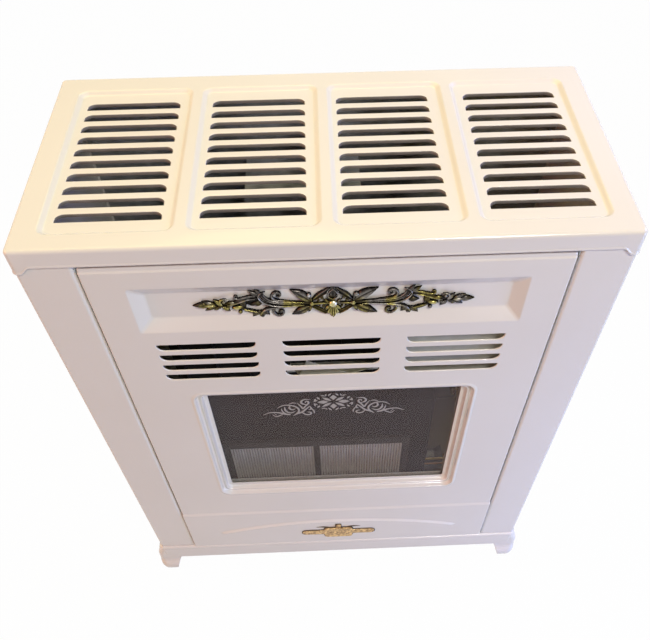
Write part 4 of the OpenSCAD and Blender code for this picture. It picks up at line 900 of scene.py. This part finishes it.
def etchedHalf(bm, size):
    def mark(points):
        stroke(bm, [(x, y, size["lineShare"] * width) for x, y, width in points], size["thick"],
               sides=1)
    mark([(91, -23.8, 0.3), (84.5, -19.2, 1.3), (78, -18.2, 1.6), (71.2, -19.2, 1.8),
          (65.5, -21.4, 2.4), (60.8, -23.8, 3.0), (55.6, -24.8, 1.4)])
    mark([(79, -23, 0.3), (76.4, -26.8, 1.2), (73, -28, 1.5), (69.9, -26, 1.7), (65.7, -23.4, 1.4)])
    mark([(76.8, -20.4, 0.4), (74.6, -23, 1.0), (73.6, -25.2, 0.4)])
    mark([(66.6, -10.9, 0.4), (66.1, -15.9, 1.5), (64, -20.2, 1.7), (60.7, -22.9, 0.9)])
    mark([(62, -7.6, 0.4), (62.6, -12.8, 2.4), (60.4, -17.9, 2.2), (56.7, -21, 1.9),
          (52.7, -20.5, 1.7), (48.8, -17, 0.4)])
    mark([(49, -12, 0.6), (51.6, -14.8, 1.8), (55.4, -13, 2.0), (57, -9.2, 2.2), (55.2, -6.4, 1.6)])
    mark([(72, -10.4, 0.3), (67.7, -6, 1.2), (63.2, -4.1, 1.5), (58.3, -3.8, 1.7),
          (52.6, -5.2, 1.9), (48, -7.9, 2.0), (44.8, -12.2, 2.1), (44.1, -17.3, 2.0),
          (46.4, -21.7, 2.0), (50.6, -25.7, 1.5), (52.4, -27.4, 0.5)])
    mark([(57, -2.4, 0.4), (53.2, 0.1, 1.5), (49.8, 0.6, 1.4), (46.6, -1.2, 0.4)])
    mark([(45.8, 0.2, 0.5), (43.4, -4.5, 1.5), (40.9, -8.4, 1.8), (39.3, -13.8, 1.8),
          (36.9, -9.4, 1.8), (33.9, -4.7, 1.9), (31.3, -1.4, 2.2), (31.7, 1.9, 2.0), (34, 3.1, 1.7),
          (36, 1.2, 1.4), (34.8, -0.6, 0.5)])
    mark([(28.4, 6, 0.3), (34.1, 6.9, 1.1), (38.4, 5.8, 1.9), (41, 2.6, 2.5), (40.8, -0.8, 2.3),
          (38.4, -3, 1.9), (34.8, -3.9, 1.0)])
    mark([(30.2, -7.4, 0.9), (34.6, -12.9, 2.0), (38.8, -18, 2.2), (41.4, -20.6, 2.4),
          (45.9, -22, 2.3), (51.4, -26.6, 0.4)])
    mark([(30.2, -7.6, 0.9), (28.4, -12.1, 2.2), (29.3, -14.9, 1.9), (32.2, -15.1, 0.5)])
    mark([(28.8, -11.6, 0.6), (26, -16.7, 1.8), (24.7, -20.2, 1.7), (25.3, -24, 0.5)])
    mark([(40.4, -20.4, 1.0), (37.9, -24.4, 1.9), (34.3, -26.2, 2.0), (30.2, -25.6, 2.1),
          (28.5, -22.6, 1.9), (30.6, -20.1, 1.6), (34, -19.9, 0.6)])


def windowOrnament(size):
    bm = bmesh.new()
    t = size["thick"]
    etchedHalf(bm, size)
    # the right half of the rosette: broad side petal, two slanting ones and the marks round them
    for base, tip, wide in (((6.2, 0), (20.2, -0.2), 6.4), ((2.4, 1.7), (14, 9.3), 4.2),
                            ((2.4, -2), (14.6, -10.2), 4.2), ((2.4, 17.2), (6.8, 12.2), 2.2),
                            ((2.1, -18.4), (6.8, -13.2), 2.2), ((8.7, 16.4), (10, 11.8), 1.8),
                            ((9.6, 12), (16.2, 13.6), 1.9), ((8, -16.2), (10.4, -13.8), 1.8),
                            ((9.4, -13.6), (16.2, -13), 1.9), ((25.4, 1.4), (19.6, 4.4), 2.2),
                            ((24.4, 1.8), (22, 7.6), 1.9), ((17, 5.4), (20.8, 10.6), 2.6),
                            ((25.4, -2.2), (19.8, -5.8), 2.0), ((24.8, -3), (22.6, -8.8), 1.9),
                            ((17, -7.2), (20.6, -11.8), 2.6)):
        leaf(bm, base, tip, wide, t, 0, fat=0.5, flat=True)
    mirrored(bm)
    for y in size["diamonds"]:
        made = bmesh.ops.create_cone(bm, cap_ends=True, segments=4, radius1=1, radius2=1, depth=t)
        bmesh.ops.scale(bm, vec=size["diamondSize"], verts=made["verts"])
        bmesh.ops.translate(bm, vec=(0, y, t / 2), verts=made["verts"])
        for v in made["verts"]:
            for e in v.link_edges:
                e.smooth = False
    behind = (glassFront - mainY) / mm
    bmesh.ops.translate(bm, vec=(0, size["rosetteZ"], -behind + size["proud"]), verts=bm.verts)
    bmesh.ops.recalc_face_normals(bm, faces=bm.faces)
    for f in bm.faces:
        f.smooth = True
    place(bm, "windowOrnament", upright(mainY), etchedGrey, "front_panel", (),
          weighted=False)


windowOrnament(etching)
print("etching made")


# Bare badge: two arms, a raised middle block, a finial and thin leaves on a dark backing
badgeSize = {
    "aside": 1.4, "rise": 38, "thick": 3.2, "round": 0.8,
    "width": 119, "height": 13, "corner": 6.3, "armShare": 0.75,
    "middleWidth": 46, "middleHeight": 30, "middleCorner": 5,
    "finialWidth": 8, "finialHeight": 11, "finialCorner": 1.2, "finialRise": 4.5,
    "finialShare": 0.8,
    "backing": 1.3, "backingThick": 1.1, "backingRound": 0.3,
    "leafFrom": (12, -0.2), "leafTo": (36, 1.8), "leafWidth": 3.2, "leafHeight": 1.2,
    "leafBend": 1.6,
}


# Block with a rounded edge of the radius given and a slightly crowned top
def domed(bm, width, height, radius, centre, low, high, edge, crown=(1.6, 0.15)):
    bend = [(inset, high + drop) for inset, drop in reversed(rolledEdge(edge, 4))]
    profile = [(0, low)] + bend + [(edge + crown[0], high + crown[1])]
    rings = pressed(bm, width, height, radius, centre, profile)
    bmesh.ops.edgeloop_fill(bm, edges=rings[0])
    bmesh.ops.edgeloop_fill(bm, edges=rings[-1])


# The badge's three blocks, widened all round by grow; the backing's are all of one height
def badgeBlocks(bm, size, grow, low, high, edge):
    armHigh = high if grow else high * size["armShare"]
    finialHigh = high if grow else high * size["finialShare"]
    centre = (size["aside"], deckZ / mm + size["rise"])
    above = (centre[0], centre[1] + size["middleHeight"] / 2 + size["finialRise"])
    for width, height, corner, at, top in (
            (size["width"], size["height"], size["corner"], centre, armHigh),
            (size["middleWidth"], size["middleHeight"], size["middleCorner"], centre, high),
            (size["finialWidth"], size["finialHeight"], size["finialCorner"], above, finialHigh)):
        domed(bm, width + 2 * grow, height + 2 * grow, corner + grow, at, low, top, edge)


def badge(size):
    base = panel["kick"]
    bm = bmesh.new()
    badgeBlocks(bm, size, 0, base, base + size["thick"], size["round"])
    bmesh.ops.recalc_face_normals(bm, faces=bm.faces)
    markSharp(bm)
    place(bm, "giltBadge", upright(mainY), finishes["gilt"], "front_panel", ["badge"])
    bm = bmesh.new()
    badgeBlocks(bm, size, size["backing"], base, base + size["backingThick"], size["backingRound"])
    rise = deckZ / mm + size["rise"] + size["middleHeight"] / 2
    for s in (-1, 1):
        ends = [(size["aside"] + s * x, rise + y) for x, y in (size["leafFrom"], size["leafTo"])]
        leaf(bm, *ends, size["leafWidth"], size["leafHeight"], base, bend=s * size["leafBend"])
    bmesh.ops.recalc_face_normals(bm, faces=bm.faces)
    markSharp(bm)
    place(bm, "badgeBacking", upright(mainY), darkBronze, "front_panel", ())


badge(badgeSize)
print("badge made")


# Camera at the photograph's place, in metres
camera = {
    "place": (-0.0038, -0.6681, 1.1348), "lens": 37.63, "sensor": 36, "clip": 0.02,
    "shift": (-0.0308, 0.1738),
    "right": (0.99907643, -0.04266409, -0.00510552), "up": (0.03817235, 0.82672081, 0.56131593),
    "ahead": (0.0197272, 0.56099241, -0.82758586),
}


def setCamera(size):
    data = bpy.data.cameras.new("photoCamera")
    data.lens = size["lens"]
    data.sensor_width = size["sensor"]
    data.sensor_fit = "HORIZONTAL"
    data.shift_x, data.shift_y = size["shift"]
    data.clip_start = size["clip"]
    eye = addObject("photoCamera", data)
    turn = Matrix((size["right"], size["up"], [-c for c in size["ahead"]])).transposed()
    eye.matrix_world = Matrix.Translation(size["place"]) @ turn.to_4x4()
    bpy.context.scene.camera = eye


# Each lamp's place, the point that it is aimed at, its width in metres, its power and its colour
lamps = {
    "rearOverhead": ((-0.2, 0.7, 2.4), (0, 0, 0.7), 1.8, 18.9, (1.0, 0.86, 0.25)),
    "ceiling": ((0.75, -1.67, 2.8), (0, -0.1, 0.5), 0.6, 45, (0.975, 0.96, 0.9)),
    "warmLeft": ((-2.4, -1.0, 1.5), (0, -0.1, 0.45), 1.4, 19, (1.0, 0.28, 0.1)),
    "warmBack": ((-1.9, 0.5, 1.9), (0, 0, 0.7), 1.2, 6.8, (1.0, 0.65, 0.3)),
    "coolBack": ((0.95, 0.2, 1.15), (0.3, 0, 0.7), 0.5, 5, (0.4, 0.42, 1.0)),
    "coolRight": ((1.0, -0.6, 0.36), (0.25, -0.16, 0.25), 0.5, 5.0, (0.33, 0.47, 1.0)),
}
studio = {
    "sky": (0.97, 0.97, 1.0), "skyLevel": 0.1,
    "floor": (0.6, 0.6, 0.6), "floorGlow": 0.985, "floorHalf": 9,
}


def addLamps(sizes):
    for name, (spot, aim, width, power, colour) in sizes.items():
        data = bpy.data.lights.new(name, "AREA")
        data.shape = "DISK"
        data.size = width
        data.energy = power
        data.color = colour
        source = addObject(name, data)
        source.location = spot
        source.rotation_euler = (Vector(aim) - Vector(spot)).to_track_quat("-Z", "Y").to_euler()


# Rays that see the surroundings directly, in a mirror or through glass
def seenDirectly(tree):
    rays = tree.nodes.new("ShaderNodeLightPath").outputs
    first = combine(tree, "MAXIMUM", rays["Is Camera Ray"], rays["Is Glossy Ray"])
    return combine(tree, "MAXIMUM", first, rays["Is Transmission Ray"])


# White where it is seen directly, and a faint even light for the rest
def surroundings(size):
    world = bpy.data.worlds.new("studio")
    bpy.context.scene.world = world
    world.use_nodes = True
    tree = world.node_tree
    tree.nodes.clear()
    seen = tree.nodes.new("ShaderNodeBackground")
    seen.inputs["Color"].default_value = (1, 1, 1, 1)
    lit = tree.nodes.new("ShaderNodeBackground")
    lit.inputs["Color"].default_value = (*size["sky"], 1)
    lit.inputs["Strength"].default_value = size["skyLevel"]
    mix = tree.nodes.new("ShaderNodeMixShader")
    out = tree.nodes.new("ShaderNodeOutputWorld")
    tree.links.new(seenDirectly(tree), mix.inputs["Fac"])
    tree.links.new(lit.outputs["Background"], mix.inputs[1])
    tree.links.new(seen.outputs["Background"], mix.inputs[2])
    tree.links.new(mix.outputs["Shader"], out.inputs["Surface"])


# Matt floor that keeps the shadow, nearly white where it is seen
def paleFloor(size):
    material = bpy.data.materials.new("paleFloor")
    material.use_nodes = True
    tree = material.node_tree
    tree.nodes.clear()
    matt = tree.nodes.new("ShaderNodeBsdfDiffuse")
    matt.inputs["Color"].default_value = (*size["floor"], 1)
    glow = tree.nodes.new("ShaderNodeEmission")
    share = combine(tree, "MULTIPLY", seenDirectly(tree), size["floorGlow"])
    mix = tree.nodes.new("ShaderNodeMixShader")
    out = tree.nodes.new("ShaderNodeOutputMaterial")
    tree.links.new(share, mix.inputs["Fac"])
    tree.links.new(matt.outputs["BSDF"], mix.inputs[1])
    tree.links.new(glow.outputs["Emission"], mix.inputs[2])
    tree.links.new(mix.outputs["Shader"], out.inputs["Surface"])
    bm = bmesh.new()
    bmesh.ops.create_grid(bm, x_segments=4, y_segments=4, size=size["floorHalf"])
    mesh = bpy.data.meshes.new("floor")
    bm.to_mesh(mesh)
    bm.free()
    floor = addObject("floor", mesh)
    mesh.materials.append(material)


setCamera(camera)
addLamps(lamps)
surroundings(studio)
paleFloor(studio)
bpy.context.scene.view_settings.view_transform = "Standard"
print("camera, lamps and floor set")
